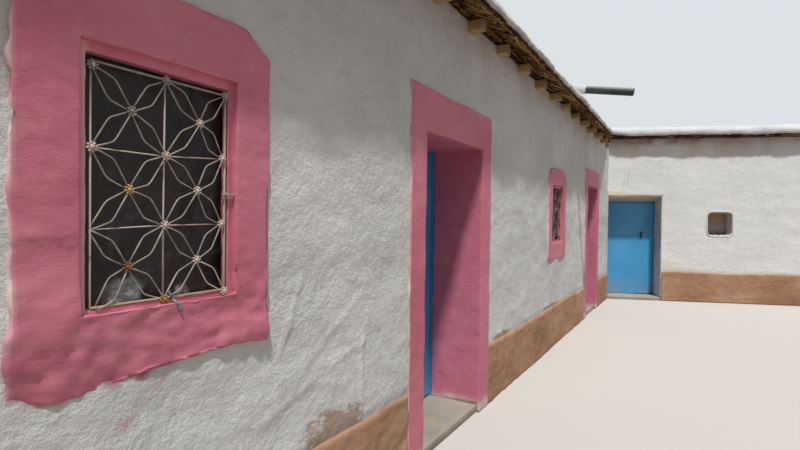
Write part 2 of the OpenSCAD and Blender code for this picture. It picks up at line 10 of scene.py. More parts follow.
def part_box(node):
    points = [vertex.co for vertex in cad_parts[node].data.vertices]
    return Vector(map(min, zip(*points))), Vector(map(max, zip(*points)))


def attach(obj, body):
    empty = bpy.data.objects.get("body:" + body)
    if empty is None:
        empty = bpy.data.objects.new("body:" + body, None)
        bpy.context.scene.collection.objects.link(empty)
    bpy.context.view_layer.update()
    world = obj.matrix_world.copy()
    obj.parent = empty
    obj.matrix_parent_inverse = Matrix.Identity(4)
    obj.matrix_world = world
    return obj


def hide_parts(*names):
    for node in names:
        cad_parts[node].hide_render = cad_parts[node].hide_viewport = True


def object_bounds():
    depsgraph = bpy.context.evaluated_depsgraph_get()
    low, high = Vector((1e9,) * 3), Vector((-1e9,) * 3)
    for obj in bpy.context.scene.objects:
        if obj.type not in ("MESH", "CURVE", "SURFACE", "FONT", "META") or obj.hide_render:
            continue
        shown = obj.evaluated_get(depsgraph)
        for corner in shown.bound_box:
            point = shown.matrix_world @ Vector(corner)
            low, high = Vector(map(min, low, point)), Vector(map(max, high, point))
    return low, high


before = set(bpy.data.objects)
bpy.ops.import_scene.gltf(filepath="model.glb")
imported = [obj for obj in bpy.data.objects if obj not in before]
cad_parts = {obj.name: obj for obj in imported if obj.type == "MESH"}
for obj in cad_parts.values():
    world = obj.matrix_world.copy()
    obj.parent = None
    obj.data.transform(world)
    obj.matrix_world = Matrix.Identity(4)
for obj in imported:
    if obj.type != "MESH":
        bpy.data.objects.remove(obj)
cad_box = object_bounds()
LOWEST, HIGHEST = Vector(cad_box[0]), Vector(cad_box[1])

# Plan and levels of the house in metres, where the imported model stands
CORNER = Vector((2.64213, 0.75489, 0))
SPLAY = math.radians(20)
ALONG = Vector((math.sin(SPLAY), -math.cos(SPLAY), 0))
INTO = Vector((math.cos(SPLAY), math.sin(SPLAY), 0))
X = Vector((1, 0, 0))
Y = Vector((0, 1, 0))
UP = Vector((0, 0, 1))
LONG_WING = 11.3
SHORT_WING = 6.0
DEPTH = 4.2
BEAM_TOP = 2.96
BRUSH_TOP = 3.06
WING_BRUSH_TOP = 3.145
EARTH_TOP = 3.265
FLOOR = 0.06


def inner(x, y, z=0.0):
    """Point given from the inner corner, with x along the long wing's face and y into it."""
    return CORNER + Vector((x, y, z))


def wing(u, y, z=0.0):
    """Point of the short wing, with u along its courtyard face and y into it."""
    return CORNER + ALONG * u + INTO * y + UP * z


BACK_RUN = (DEPTH - DEPTH * math.sin(SPLAY)) / math.cos(SPLAY)
PLAN = [inner(-LONG_WING, 0), inner(0, 0), wing(SHORT_WING, 0), wing(SHORT_WING, DEPTH),
        wing(-BACK_RUN, DEPTH), inner(-LONG_WING, DEPTH)]

# Face 0 is the long wing's front, face 1 the short wing's, and the others follow round the back
Face = namedtuple("Face", "start run out length")


def plan_faces():
    """Each face of the plan: its start, the way along it, the way out of it and its length."""
    faces = []
    for start, end in zip(PLAN, PLAN[1:] + PLAN[:1]):
        run = (end - start).normalized()
        faces.append(Face(start, run, Vector((run.y, -run.x, 0)), (end - start).length))
    return faces


FACES = plan_faces()

# Doorways of the long wing: middle from the inner corner, width
DOORWAYS = [(7.25, 0.95), (1.785, 0.87)]
DOOR_TOP = 2.055
# Bare width beside a doorway that its painted band covers
BAND_SIDE = 0.188
# Each window's middle from the inner corner, sill, height, set-back, and the dark opening's foot and top
WINDOWS = {1: (9.493, 1.238, 0.76, 0.004, 1.252, 1.967), 2: (4.225, 1.244, 0.682, 0.012, 1.269, 1.901)}
WINDOW_WIDTH = 0.54
# The vent's middle along the short wing, width, foot and top
VENT = (1.996, 0.42, 1.253, 1.693)


# Camera at the photograph's place and angle
def photo_camera():
    turn, tilt, roll = 0.5258, -0.01457, 0.01275
    ahead = Vector((math.cos(tilt) * math.cos(turn), math.cos(tilt) * math.sin(turn), math.sin(tilt)))
    side = Vector((math.sin(turn), -math.cos(turn), 0))
    head = side.cross(ahead)
    right = side * math.cos(roll) + head * math.sin(roll)
    top = head * math.cos(roll) - side * math.sin(roll)
    data = bpy.data.cameras.new("photo_camera")
    data.sensor_width = 36
    data.lens = 22.758
    data.clip_start = 0.05
    data.clip_end = 300
    camera = bpy.data.objects.new("photo_camera", data)
    place = inner(-10.5056, -1.4507, 1.52)
    camera.matrix_world = Matrix((
        (right.x, top.x, -ahead.x, place.x), (right.y, top.y, -ahead.y, place.y),
        (right.z, top.z, -ahead.z, place.z), (0, 0, 0, 1)))
    bpy.context.scene.collection.objects.link(camera)
    bpy.context.scene.camera = camera


photo_camera()


# Materials
def linear(code):
    """sRGB hex colour as linear red, green, blue and alpha."""
    parts = [int(code[i:i + 2], 16) / 255 for i in (1, 3, 5)]
    return tuple(c / 12.92 if c <= 0.04045 else ((c + 0.055) / 1.055) ** 2.4 for c in parts) + (1.0,)


def put(tree, kind, inputs=None, settings=None, stops=(), out=0):
    """Adds one shader node with its settings and links, and returns one of its outputs."""
    made = tree.nodes.new(kind)
    for key, value in (settings or {}).items():
        setattr(made, key, value)
    for key, value in (inputs or {}).items():
        if isinstance(value, bpy.types.NodeSocket):
            tree.links.new(value, made.inputs[key])
        else:
            made.inputs[key].default_value = linear(value) if isinstance(value, str) else value
    for n, (place, colour) in enumerate(stops):
        ramp = made.color_ramp.elements
        stop = ramp[n] if n < 2 else ramp.new(place)
        stop.position = place
        stop.color = linear(colour)
    return made.outputs[out]


NOISE, RAMP, RANGE, MIX, MATH, BUMP, MAPPING, COORDS, MARK, SPLIT = (
    "ShaderNodeTexNoise", "ShaderNodeValToRGB", "ShaderNodeMapRange", "ShaderNodeMix", "ShaderNodeMath",
    "ShaderNodeBump", "ShaderNodeMapping", "ShaderNodeTexCoord", "ShaderNodeAttribute", "ShaderNodeSeparateXYZ")
# Sockets of a Mix node that mixes colours: 0 is the share, 6 and 7 are the colours, output 2 the result
COLOUR = {"data_type": "RGBA"}
TIMES = {"operation": "MULTIPLY"}
LARGER = {"operation": "MAXIMUM"}
SMOOTH = {"interpolation_type": "SMOOTHSTEP"}
# A noise scale of ACROSS / n gives lumps about n millimetres across
ACROSS = 500


def make_material(name, paint, *facts):
    """Makes a material, which its own function paints by the place on the piece."""
    made = bpy.data.materials.new(name)
    made.use_nodes = True
    paint(made.node_tree, put(made.node_tree, COORDS, out="Object"), *facts)
    return made


def paint_marks(tree, colour, **tints):
    """Lays a tint over the colour where a piece carries that mark."""
    for key, tint in tints.items():
        share = put(tree, MARK, settings={"attribute_name": key}, out="Fac")
        colour = put(tree, MIX, {0: share, 6: colour, 7: tint}, COLOUR, out=2)
    return colour


def looked_at(tree):
    """1 where a surface is seen, mirrored or seen through glass, 0 where it only passes light on."""
    path = tree.nodes.new("ShaderNodeLightPath")
    seen = path.outputs["Is Camera Ray"]
    for other in ("Is Glossy Ray", "Is Transmission Ray"):
        seen = put(tree, MATH, {0: seen, 1: path.outputs[other]}, LARGER)
    return seen


def finish_shader(tree, colour, normal, roughness, specular=0.5, metallic=0.0):
    """Links what varies to the shader and sets what doesn't."""
    shader = tree.nodes["Principled BSDF"]
    for key, value in (("Base Color", colour), ("Normal", normal), ("Roughness", roughness),
                       ("Specular IOR Level", specular), ("Metallic", metallic)):
        if isinstance(value, bpy.types.NodeSocket):
            tree.links.new(value, shader.inputs[key])
        else:
            shader.inputs[key].default_value = value


# Limewash brushed over hand-laid mud: chalky and matt, ridged by the strokes of the hand, curdled
# where the lime is thick, brown or pink from older coats where it is thin
def limewash(tree, place, worn, relief=1.0, tones=("#d3d5d5", "#dfe1e0", "#e8e9e7")):
    laid = put(tree, MAPPING, {"Vector": place, "Scale": (1.0, 1.0, 1.5)})
    strokes = put(tree, NOISE, {"Vector": laid, "Scale": ACROSS / 110, "Detail": 7.0, "Roughness": 0.6})
    brushed = put(tree, NOISE, {"Vector": laid, "Scale": ACROSS / 38, "Detail": 5.0, "Roughness": 0.62})
    curds = put(tree, NOISE, {"Vector": place, "Scale": ACROSS / 11, "Detail": 5.0, "Roughness": 0.7})
    creased = put(tree, NOISE, {"Vector": laid, "Scale": ACROSS / 55, "Detail": 5.0, "Roughness": 0.6},
                  {"noise_type": "RIDGED_MULTIFRACTAL"})
    patches = put(tree, NOISE, {"Vector": place, "Scale": ACROSS / 260, "Detail": 4.0})
    thick = put(tree, RANGE, {"Value": patches, "From Min": 0.4, "From Max": 0.6, "To Min": 0.6}, SMOOTH)
    curds = put(tree, MATH, {0: curds, 1: thick}, TIMES)
    creased = put(tree, MATH, {0: creased, 1: thick}, TIMES)
    cloud = put(tree, NOISE, {"Vector": place, "Scale": ACROSS / 800, "Detail": 6.0, "Roughness": 0.62})
    colour = put(tree, RAMP, {0: cloud}, stops=((0.34, tones[0]), (0.5, tones[1]), (0.66, tones[2])))
    # Painted shade: the hollows of the brush strokes are drawn grey
    hollow_shade = put(tree, RANGE, {"Value": brushed, "From Min": 0.48, "From Max": 0.3, "To Max": 0.3}, SMOOTH)
    colour = put(tree, MIX, {0: hollow_shade, 6: colour, 7: "#bcbdbd"}, COLOUR, out=2)
    if worn:
        height = put(tree, SPLIT, {0: place}, out="Z")
        ragged = put(tree, NOISE, {"Vector": laid, "Scale": ACROSS / 60, "Detail": 8.0, "Roughness": 0.78})
        # Mud showing through low down, where the coat has been rubbed off
        bare = put(tree, MATH, {0: ragged, 1: put(tree, MARK, settings={"attribute_name": "bare"}, out="Fac")},
                   {"operation": "ADD"})
        bare = put(tree, RANGE, {"Value": bare, "From Min": 0.98, "From Max": 1.1, "To Max": 0.8}, SMOOTH)
        colour = put(tree, MIX, {0: bare, 6: colour, 7: "#ab8f78"}, COLOUR, out=2)
        # Brown dust washed down from under the beams
        under = put(tree, RANGE, {"Value": height, "From Min": 2.55, "From Max": 3.0, "To Max": 0.6}, SMOOTH)
        run_down = put(tree, NOISE, {"Vector": put(tree, MAPPING, {"Vector": place, "Scale": (1.0, 1.0, 0.2)}),
                                     "Scale": ACROSS / 260, "Detail": 5.0, "Roughness": 0.6})
        run_down = put(tree, RANGE, {"Value": run_down, "From Min": 0.3, "From Max": 0.75}, SMOOTH)
        under = put(tree, MATH, {0: under, 1: run_down}, TIMES)
        colour = put(tree, MIX, {0: under, 6: colour, 7: "#b8a097"}, COLOUR, out=2)
        # Faint pink of an older coat, in broad patches
        older = put(tree, NOISE, {"Vector": place, "Scale": ACROSS / 520, "Detail": 5.0, "Roughness": 0.7})
        older = put(tree, RANGE, {"Value": older, "From Min": 0.56, "From Max": 0.72, "To Max": 0.3}, SMOOTH)
        colour = put(tree, MIX, {0: older, 6: colour, 7: "#dccbc9"}, COLOUR, out=2)
        colour = paint_marks(tree, colour, pink="#cf8f9b", cream="#e6dcc0", umber="#9a7a6c", rose="#c76c80",
                             crack="#77706a")
    normal = put(tree, BUMP, {"Height": strokes, "Distance": 0.0042 * relief, "Strength": 0.8})
    normal = put(tree, BUMP, {"Height": brushed, "Distance": 0.006 * relief, "Strength": 0.8, "Normal": normal})
    normal = put(tree, BUMP, {"Height": creased, "Distance": 0.0016 * relief, "Strength": 0.9, "Normal": normal})
    normal = put(tree, BUMP, {"Height": curds, "Distance": 0.014 * relief, "Strength": 1.0, "Normal": normal})
    finish_shader(tree, colour, normal, 0.93, 0.2)


# Mud render with chopped straw, smoothed by hand: brown, matt, gritty, with darker damp clouds
def mud_render(tree, place, dark, mid, pale):
    cloud = put(tree, NOISE, {"Vector": place, "Scale": ACROSS / 420, "Detail": 7.0, "Roughness": 0.66})
    grit = put(tree, NOISE, {"Vector": place, "Scale": ACROSS / 9, "Detail": 4.0, "Roughness": 0.65})
    laid = put(tree, NOISE, {"Vector": put(tree, MAPPING, {"Vector": place, "Scale": (1.0, 1.0, 2.2)}),
                             "Scale": ACROSS / 95, "Detail": 6.0, "Roughness": 0.6})
    colour = put(tree, RAMP, {0: cloud}, stops=((0.32, dark), (0.5, mid), (0.68, pale)))
    # Chopped straw is 2 mm thick and is drawn 6 mm thick so that it shows
    chopped = put(tree, MAPPING, {"Vector": place, "Scale": (1.0, 1.0, 6.0), "Rotation": (0.5, 0.9, 0.4)})
    chopped = put(tree, NOISE, {"Vector": chopped, "Scale": ACROSS / 36, "Detail": 2.0})
    chopped = put(tree, RANGE, {"Value": chopped, "From Min": 0.66, "From Max": 0.73, "To Max": 0.4}, SMOOTH)
    colour = put(tree, MIX, {0: chopped, 6: colour, 7: "#c9ae8a"}, COLOUR, out=2)
    dusty = put(tree, RANGE, {"Value": laid, "From Min": 0.5, "From Max": 0.7, "To Max": 0.35}, SMOOTH)
    colour = put(tree, MIX, {0: dusty, 6: colour, 7: pale}, COLOUR, out=2)
    normal = put(tree, BUMP, {"Height": laid, "Distance": 0.01, "Strength": 0.7})
    normal = put(tree, BUMP, {"Height": grit, "Distance": 0.004, "Strength": 0.8, "Normal": normal})
    finish_shader(tree, colour, normal, 0.95, 0.15)


# Rose oil paint brushed on lime plaster: satin and streaky, darker in the hollows as painted shade, chalky pink
# where it is rubbed, with a painted highlight on its lit left edge and cement at the foot of doorways
def rose_paint(tree, place):
    cloud = put(tree, NOISE, {"Vector": place, "Scale": ACROSS / 420, "Detail": 5.0, "Roughness": 0.6})
    swept = put(tree, MAPPING, {"Vector": place, "Scale": (1.0, 1.0, 1.3)})
    rough = put(tree, NOISE, {"Vector": swept, "Scale": ACROSS / 55, "Detail": 7.0, "Roughness": 0.62})
    # Brush hairs leave 1 mm lines, drawn here 5 mm wide so that they show
    brush = put(tree, NOISE, {"Vector": put(tree, MAPPING, {"Vector": place, "Scale": (1.0, 1.0, 3.0)}),
                              "Scale": ACROSS / 12, "Detail": 3.0, "Roughness": 0.6})
    colour = put(tree, RAMP, {0: cloud}, stops=((0.3, "#c4697d"), (0.5, "#cf788b"), (0.72, "#d98798")))
    rubbed = put(tree, RANGE, {"Value": rough, "From Min": 0.54, "From Max": 0.74, "To Max": 0.35}, SMOOTH)
    colour = put(tree, MIX, {0: rubbed, 6: colour, 7: "#e2a0aa"}, COLOUR, out=2)
    # Painted shade: the hollows of the rough plaster are drawn deeper and darker
    deep = put(tree, RANGE, {"Value": rough, "From Min": 0.44, "From Max": 0.26, "To Max": 0.45}, SMOOTH)
    colour = put(tree, MIX, {0: deep, 6: colour, 7: "#ad5067"}, COLOUR, out=2)
    # The lit edge is a painted highlight
    colour = paint_marks(tree, colour, chalk="#e6cdcb", cement="#d5d0c8", crack="#7c3448")
    gloss = put(tree, RANGE, {"Value": rough, "To Min": 0.42, "To Max": 0.7})
    normal = put(tree, BUMP, {"Height": rough, "Distance": 0.006, "Strength": 0.8})
    normal = put(tree, BUMP, {"Height": brush, "Distance": 0.0012, "Strength": 0.7, "Normal": normal})
    finish_shader(tree, colour, normal, gloss, 0.35)


# Bare cement and mud plaster, rubbed smooth: grey-beige with darker damp patches
def bare_plaster(tree, place):
    cloud = put(tree, NOISE, {"Vector": place, "Scale": ACROSS / 260, "Detail": 6.0, "Roughness": 0.66})
    worked = put(tree, NOISE, {"Vector": place, "Scale": ACROSS / 70, "Detail": 6.0, "Roughness": 0.6})
    grit = put(tree, NOISE, {"Vector": place, "Scale": ACROSS / 8, "Detail": 4.0, "Roughness": 0.6})
    colour = put(tree, RAMP, {0: cloud}, stops=((0.32, "#a7a3a2"), (0.5, "#bdb9b7"), (0.68, "#cecac5")))
    colour = paint_marks(tree, colour, cream="#dcd2b8")
    normal = put(tree, BUMP, {"Height": worked, "Distance": 0.012, "Strength": 0.8})
    normal = put(tree, BUMP, {"Height": grit, "Distance": 0.003, "Strength": 0.8, "Normal": normal})
    finish_shader(tree, colour, normal, 0.9, 0.2)


# Cement screed over earth, floated and trodden: grey, patchy, finely pitted, brown with dust
def worn_screed(tree, place):
    cloud = put(tree, NOISE, {"Vector": place, "Scale": ACROSS / 420, "Detail": 6.0, "Roughness": 0.65})
    dust = put(tree, NOISE, {"Vector": place, "Scale": ACROSS / 140, "Detail": 6.0, "Roughness": 0.7})
    pits = put(tree, NOISE, {"Vector": place, "Scale": ACROSS / 12, "Detail": 5.0, "Roughness": 0.62})
    colour = put(tree, RAMP, {0: cloud}, stops=((0.3, "#8b8478"), (0.5, "#a39b8e"), (0.7, "#b9b09f")))
    dust = put(tree, RANGE, {"Value": dust, "From Min": 0.5, "From Max": 0.7, "To Max": 0.5}, SMOOTH)
    colour = put(tree, MIX, {0: dust, 6: colour, 7: "#b79a7d"}, COLOUR, out=2)
    normal = put(tree, BUMP, {"Height": pits, "Distance": 0.005, "Strength": 0.8})
    finish_shader(tree, colour, normal, 0.85, 0.3)


# Poplar pole squared with an axe and weathered: straw colour with grey, long grain and checks; its
# sawn ends are pinkish and darker
def weathered_pole(tree, place, turn):
    lined = put(tree, MAPPING, {"Vector": place, "Rotation": (0.0, 0.0, turn)}, {"vector_type": "TEXTURE"})
    fibre = put(tree, NOISE, {"Vector": put(tree, MAPPING, {"Vector": lined, "Scale": (0.05, 1.0, 1.0)}),
                              "Scale": ACROSS / 8, "Detail": 5.0, "Roughness": 0.62})
    cloud = put(tree, NOISE, {"Vector": put(tree, MAPPING, {"Vector": lined, "Scale": (0.3, 1.0, 1.0)}),
                              "Scale": ACROSS / 130, "Detail": 5.0, "Roughness": 0.6})
    rings = put(tree, NOISE, {"Vector": place, "Scale": ACROSS / 12, "Detail": 4.0, "Roughness": 0.6})
    colour = put(tree, RAMP, {0: cloud}, stops=((0.3, "#8f7752"), (0.5, "#b59c6f"), (0.7, "#cdbb92")))
    check = put(tree, RANGE, {"Value": fibre, "From Min": 0.54, "From Max": 0.7, "To Max": 0.55}, SMOOTH)
    colour = put(tree, MIX, {0: check, 6: colour, 7: "#6a5238"}, COLOUR, out=2)
    sawn = put(tree, MARK, settings={"attribute_name": "sawn"}, out="Fac")
    end = put(tree, RAMP, {0: rings}, stops=((0.32, "#8d6c60"), (0.62, "#b89a8e")))
    colour = put(tree, MIX, {0: sawn, 6: colour, 7: end}, COLOUR, out=2)
    normal = put(tree, BUMP, {"Height": fibre, "Distance": 0.004, "Strength": 0.9})
    normal = put(tree, BUMP, {"Height": rings, "Distance": 0.003, "Strength": 0.6, "Normal": normal})
    finish_shader(tree, colour, normal, 0.8, 0.3)


# Twigs and cane with their bark on, dry: each its own brown or straw, blotched by the bark
def dry_twigs(tree, place):
    own = put(tree, MARK, settings={"attribute_name": "tone"}, out="Fac")
    colour = put(tree, RAMP, {0: own}, stops=((0.0, "#33210f"), (0.3, "#5d3e22"), (0.6, "#8a6238"),
                                              (0.85, "#ac8753"), (1.0, "#ccb588")))
    bark = put(tree, NOISE, {"Vector": place, "Scale": ACROSS / 15, "Detail": 4.0, "Roughness": 0.6})
    blotch = put(tree, RANGE, {"Value": bark, "From Min": 0.5, "From Max": 0.7, "To Max": 0.5}, SMOOTH)
    colour = put(tree, MIX, {0: blotch, 6: colour, 7: "#3a2817"}, COLOUR, out=2)
    normal = put(tree, BUMP, {"Height": bark, "Distance": 0.004, "Strength": 0.9})
    finish_shader(tree, colour, normal, 0.85, 0.25)


# Earth packed between the twigs: brown and crumbly, with bits of stalk in it, drawn dark as painted shade under the
# brushwood
def packed_earth(tree, place):
    cloud = put(tree, NOISE, {"Vector": place, "Scale": ACROSS / 60, "Detail": 7.0, "Roughness": 0.72})
    grit = put(tree, NOISE, {"Vector": place, "Scale": ACROSS / 11, "Detail": 4.0, "Roughness": 0.7})
    colour = put(tree, RAMP, {0: cloud}, stops=((0.34, "#2a1b10"), (0.5, "#4a311d"), (0.66, "#7d5632")))
    normal = put(tree, BUMP, {"Height": cloud, "Distance": 0.03, "Strength": 1.0})
    normal = put(tree, BUMP, {"Height": grit, "Distance": 0.01, "Strength": 1.0, "Normal": normal})
    finish_shader(tree, colour, normal, 0.95, 0.1)


# Reeds laid side by side under the earth roof: long parallel stalks, with painted shade in the gaps between them
def reed_bed(tree, place):
    # A reed is 12 mm thick and is drawn 24 mm wide so that it shows
    stalk = put(tree, "ShaderNodeTexWave", {"Vector": place, "Scale": ACROSS / 24 / 3.14, "Distortion": 1.2,
                                            "Detail": 2.0, "Detail Scale": 0.4},
                {"wave_type": "BANDS", "bands_direction": "Y", "wave_profile": "SIN"}, out="Fac")
    cloud = put(tree, NOISE, {"Vector": put(tree, MAPPING, {"Vector": place, "Scale": (0.2, 1.0, 1.0)}),
                              "Scale": ACROSS / 240, "Detail": 5.0, "Roughness": 0.6})
    colour = put(tree, RAMP, {0: cloud}, stops=((0.3, "#6a4d2d"), (0.5, "#8d6c41"), (0.7, "#a88a58")))
    gap = put(tree, RANGE, {"Value": stalk, "From Min": 0.35, "From Max": 0.0}, SMOOTH)
    colour = put(tree, MIX, {0: gap, 6: colour, 7: "#2b1d10"}, COLOUR, out=2)
    finish_shader(tree, colour, put(tree, BUMP, {"Height": stalk, "Distance": 0.012}), 0.8, 0.3)


# Blue gloss enamel brushed on sheet steel: faded in streaks, dusty at the foot, chipped to rust
def blue_enamel(tree, place):
    cloud = put(tree, NOISE, {"Vector": place, "Scale": ACROSS / 480, "Detail": 4.0, "Roughness": 0.55})
    colour = put(tree, RAMP, {0: cloud}, stops=((0.3, "#2c86c4"), (0.5, "#3a95cf"), (0.7, "#4ca5d8")))
    hanging = put(tree, MAPPING, {"Vector": place, "Scale": (1.0, 1.0, 0.12)})
    streak = put(tree, NOISE, {"Vector": hanging, "Scale": ACROSS / 60, "Detail": 5.0, "Roughness": 0.6})
    streak = put(tree, RANGE, {"Value": streak, "From Min": 0.52, "From Max": 0.74, "To Max": 0.35}, SMOOTH)
    colour = put(tree, MIX, {0: streak, 6: colour, 7: "#72b9dd"}, COLOUR, out=2)
    height = put(tree, SPLIT, {0: place}, out="Z")
    low = put(tree, RANGE, {"Value": height, "From Min": 0.5, "From Max": 0.06}, SMOOTH)
    dust = put(tree, NOISE, {"Vector": place, "Scale": ACROSS / 80, "Detail": 6.0, "Roughness": 0.7})
    dust = put(tree, RANGE, {"Value": dust, "From Min": 0.35, "From Max": 0.7, "To Max": 0.6}, SMOOTH)
    dust = put(tree, MATH, {0: dust, 1: low}, TIMES)
    colour = put(tree, MIX, {0: dust, 6: colour, 7: "#9f937f"}, COLOUR, out=2)
    chips = put(tree, NOISE, {"Vector": place, "Scale": ACROSS / 24, "Detail": 6.0, "Roughness": 0.75})
    chips = put(tree, RANGE, {"Value": chips, "From Min": 0.73, "From Max": 0.76, "To Max": 0.8}, SMOOTH)
    colour = put(tree, MIX, {0: chips, 6: colour, 7: "#5c4435"}, COLOUR, out=2)
    gloss = put(tree, RANGE, {"Value": dust, "To Min": 0.33, "To Max": 0.75})
    brush = put(tree, NOISE, {"Vector": hanging, "Scale": ACROSS / 7, "Detail": 2.0})
    finish_shader(tree, colour, put(tree, BUMP, {"Height": brush, "Distance": 0.0012, "Strength": 0.7}),
                  gloss, 0.5)


# Mild steel rod with old silver paint: dull grey-beige, rust where the paint has gone; the cast
# rosettes are cream, gilt or rusty
def silvered_steel(tree, place, rust_from):
    film = put(tree, NOISE, {"Vector": place, "Scale": ACROSS / 25, "Detail": 4.0, "Roughness": 0.6})
    colour = put(tree, RAMP, {0: film}, stops=((0.3, "#7b7469"), (0.62, "#aba294")))
    cast = put(tree, MARK, settings={"attribute_name": "cast"}, out="Fac")
    casting = put(tree, RAMP, {0: cast}, stops=((0.3, "#ccb9ae"), (0.45, "#ccb9ae"), (0.65, "#b08f4c"),
                                                (1.0, "#7d4c28")))
    is_cast = put(tree, RANGE, {"Value": cast, "From Min": 0.05, "From Max": 0.2})
    colour = put(tree, MIX, {0: is_cast, 6: colour, 7: casting}, COLOUR, out=2)
    patch = put(tree, NOISE, {"Vector": place, "Scale": ACROSS / 60, "Detail": 6.0, "Roughness": 0.7})
    rust = put(tree, RANGE, {"Value": patch, "From Min": rust_from, "From Max": rust_from + 0.1}, SMOOTH)
    flake = put(tree, NOISE, {"Vector": place, "Scale": ACROSS / 8, "Detail": 4.0, "Roughness": 0.7})
    flake_colour = put(tree, RAMP, {0: flake}, stops=((0.3, "#5a3a24"), (0.6, "#8d6238")))
    colour = put(tree, MIX, {0: rust, 6: colour, 7: flake_colour}, COLOUR, out=2)
    rough = put(tree, RANGE, {"Value": rust, "To Min": 0.45, "To Max": 0.85})
    finish_shader(tree, colour, put(tree, BUMP, {"Height": flake, "Distance": 0.0012, "Strength": 0.8}),
                  rough, 0.4)


# Black plastic sheet, creased and dusty: satin on its folds, grey with dust in broad patches
def dusty_sheet(tree, place):
    patch = put(tree, NOISE, {"Vector": place, "Scale": ACROSS / 150, "Detail": 7.0, "Roughness": 0.72})
    colour = put(tree, RAMP, {0: patch}, stops=((0.36, "#140e10"), (0.54, "#1f1719"), (0.66, "#352e2e"),
                                                (0.8, "#5b5855")))
    dust = put(tree, MARK, settings={"attribute_name": "dust"}, out="Fac")
    speck = put(tree, NOISE, {"Vector": place, "Scale": ACROSS / 14, "Detail": 5.0, "Roughness": 0.7})
    speck = put(tree, RANGE, {"Value": speck, "From Min": 0.35, "From Max": 0.62, "To Min": 0.35}, SMOOTH)
    dust = put(tree, MATH, {0: dust, 1: speck}, TIMES)
    colour = put(tree, MIX, {0: dust, 6: colour, 7: "#a9b0b0"}, COLOUR, out=2)
    rough = put(tree, RANGE, {"Value": patch, "To Min": 0.36, "To Max": 0.8})
    crease = put(tree, NOISE, {"Vector": put(tree, MAPPING, {"Vector": place, "Scale": (1.0, 1.0, 0.55)}),
                               "Scale": ACROSS / 36, "Detail": 6.0, "Roughness": 0.7})
    finish_shader(tree, colour, put(tree, BUMP, {"Height": crease, "Distance": 0.012, "Strength": 0.9}),
                  rough, 0.4)


# Old painted steel pipe: dark green-grey, with a painted highlight that lightens the faces turned up, rust at the lip
def weathered_pipe(tree, place):
    facing = put(tree, SPLIT, {0: put(tree, "ShaderNodeNewGeometry", out="Normal")}, out="Z")
    film = put(tree, NOISE, {"Vector": place, "Scale": ACROSS / 60, "Detail": 6.0, "Roughness": 0.66})
    colour = put(tree, RAMP, {0: film}, stops=((0.3, "#27302e"), (0.55, "#3d4845"), (0.75, "#55605c")))
    # Painted highlight: the more a face turns up, the lighter it is drawn
    lit_top_highlight = put(tree, RANGE, {"Value": facing, "From Min": 0.1, "From Max": 0.8, "To Max": 0.75}, SMOOTH)
    colour = put(tree, MIX, {0: lit_top_highlight, 6: colour, 7: "#a3a5ad"}, COLOUR, out=2)
    rust = put(tree, NOISE, {"Vector": place, "Scale": ACROSS / 34, "Detail": 6.0, "Roughness": 0.75})
    rust = put(tree, RANGE, {"Value": rust, "From Min": 0.63, "From Max": 0.7, "To Max": 0.6}, SMOOTH)
    colour = put(tree, MIX, {0: rust, 6: colour, 7: "#6b4630"}, COLOUR, out=2)
    finish_shader(tree, colour, put(tree, BUMP, {"Height": film, "Distance": 0.003, "Strength": 0.8}),
                  0.62, 0.4)


# Old cardboard that closes the vent: brown and soft at the top, drawn grey and then dark towards its foot as painted
# shade deep in the vent
def old_card(tree, place):
    blotch = put(tree, NOISE, {"Vector": place, "Scale": ACROSS / 90, "Detail": 5.0, "Roughness": 0.65})
    colour = put(tree, RAMP, {0: blotch}, stops=((0.3, "#a08464"), (0.5, "#b89a78"), (0.7, "#c9ad8c")))
    height = put(tree, SPLIT, {0: place}, out="Z")
    # Painted shade: lower down the card is drawn greyer, and near its foot darker
    grey = put(tree, RANGE, {"Value": height, "From Min": 1.6, "From Max": 1.48, "To Max": 0.85}, SMOOTH)
    colour = put(tree, MIX, {0: grey, 6: colour, 7: "#a09a96"}, COLOUR, out=2)
    foot_shade = put(tree, RANGE, {"Value": height, "From Min": 1.4, "From Max": 1.27, "To Max": 0.8}, SMOOTH)
    colour = put(tree, MIX, {0: foot_shade, 6: colour, 7: "#5d5855"}, COLOUR, out=2)
    finish_shader(tree, colour, put(tree, BUMP, {"Height": blotch, "Distance": 0.006, "Strength": 0.6}),
                  0.92, 0.2)


# Oiled steel of the locks: near black, rubbed brown
def lock_steel(tree, place):
    rubbed = put(tree, NOISE, {"Vector": place, "Scale": ACROSS / 18, "Detail": 4.0, "Roughness": 0.6})
    colour = put(tree, RAMP, {0: rubbed}, stops=((0.3, "#1d1b19"), (0.6, "#3b3530"), (0.8, "#5a4636")))
    finish_shader(tree, colour, put(tree, BUMP, {"Height": rubbed, "Distance": 0.001, "Strength": 0.6}),
                  0.5, 0.5, 0.7)


# Woven plastic strap tied to the lattice: blue-grey, faded, ribbed along its length
def faded_strap(tree, place):
    fading = put(tree, NOISE, {"Vector": place, "Scale": ACROSS / 12, "Detail": 4.0})
    colour = put(tree, RAMP, {0: fading}, stops=((0.35, "#4f626c"), (0.65, "#84969e")))
    finish_shader(tree, colour, put(tree, BUMP, {"Height": fading, "Distance": 0.0008}), 0.5, 0.4)


# Matt pale floor of the studio. What it throws back on the walls is kept low, as swept earth does,
# and it still takes the shadow of the house.
def studio_floor(tree, place):
    colour = put(tree, MIX, {0: looked_at(tree), 6: "#9d9186", 7: "#cfcac3"}, COLOUR, out=2)
    finish_shader(tree, colour, (0, 0, 0), 0.95, 0.1)


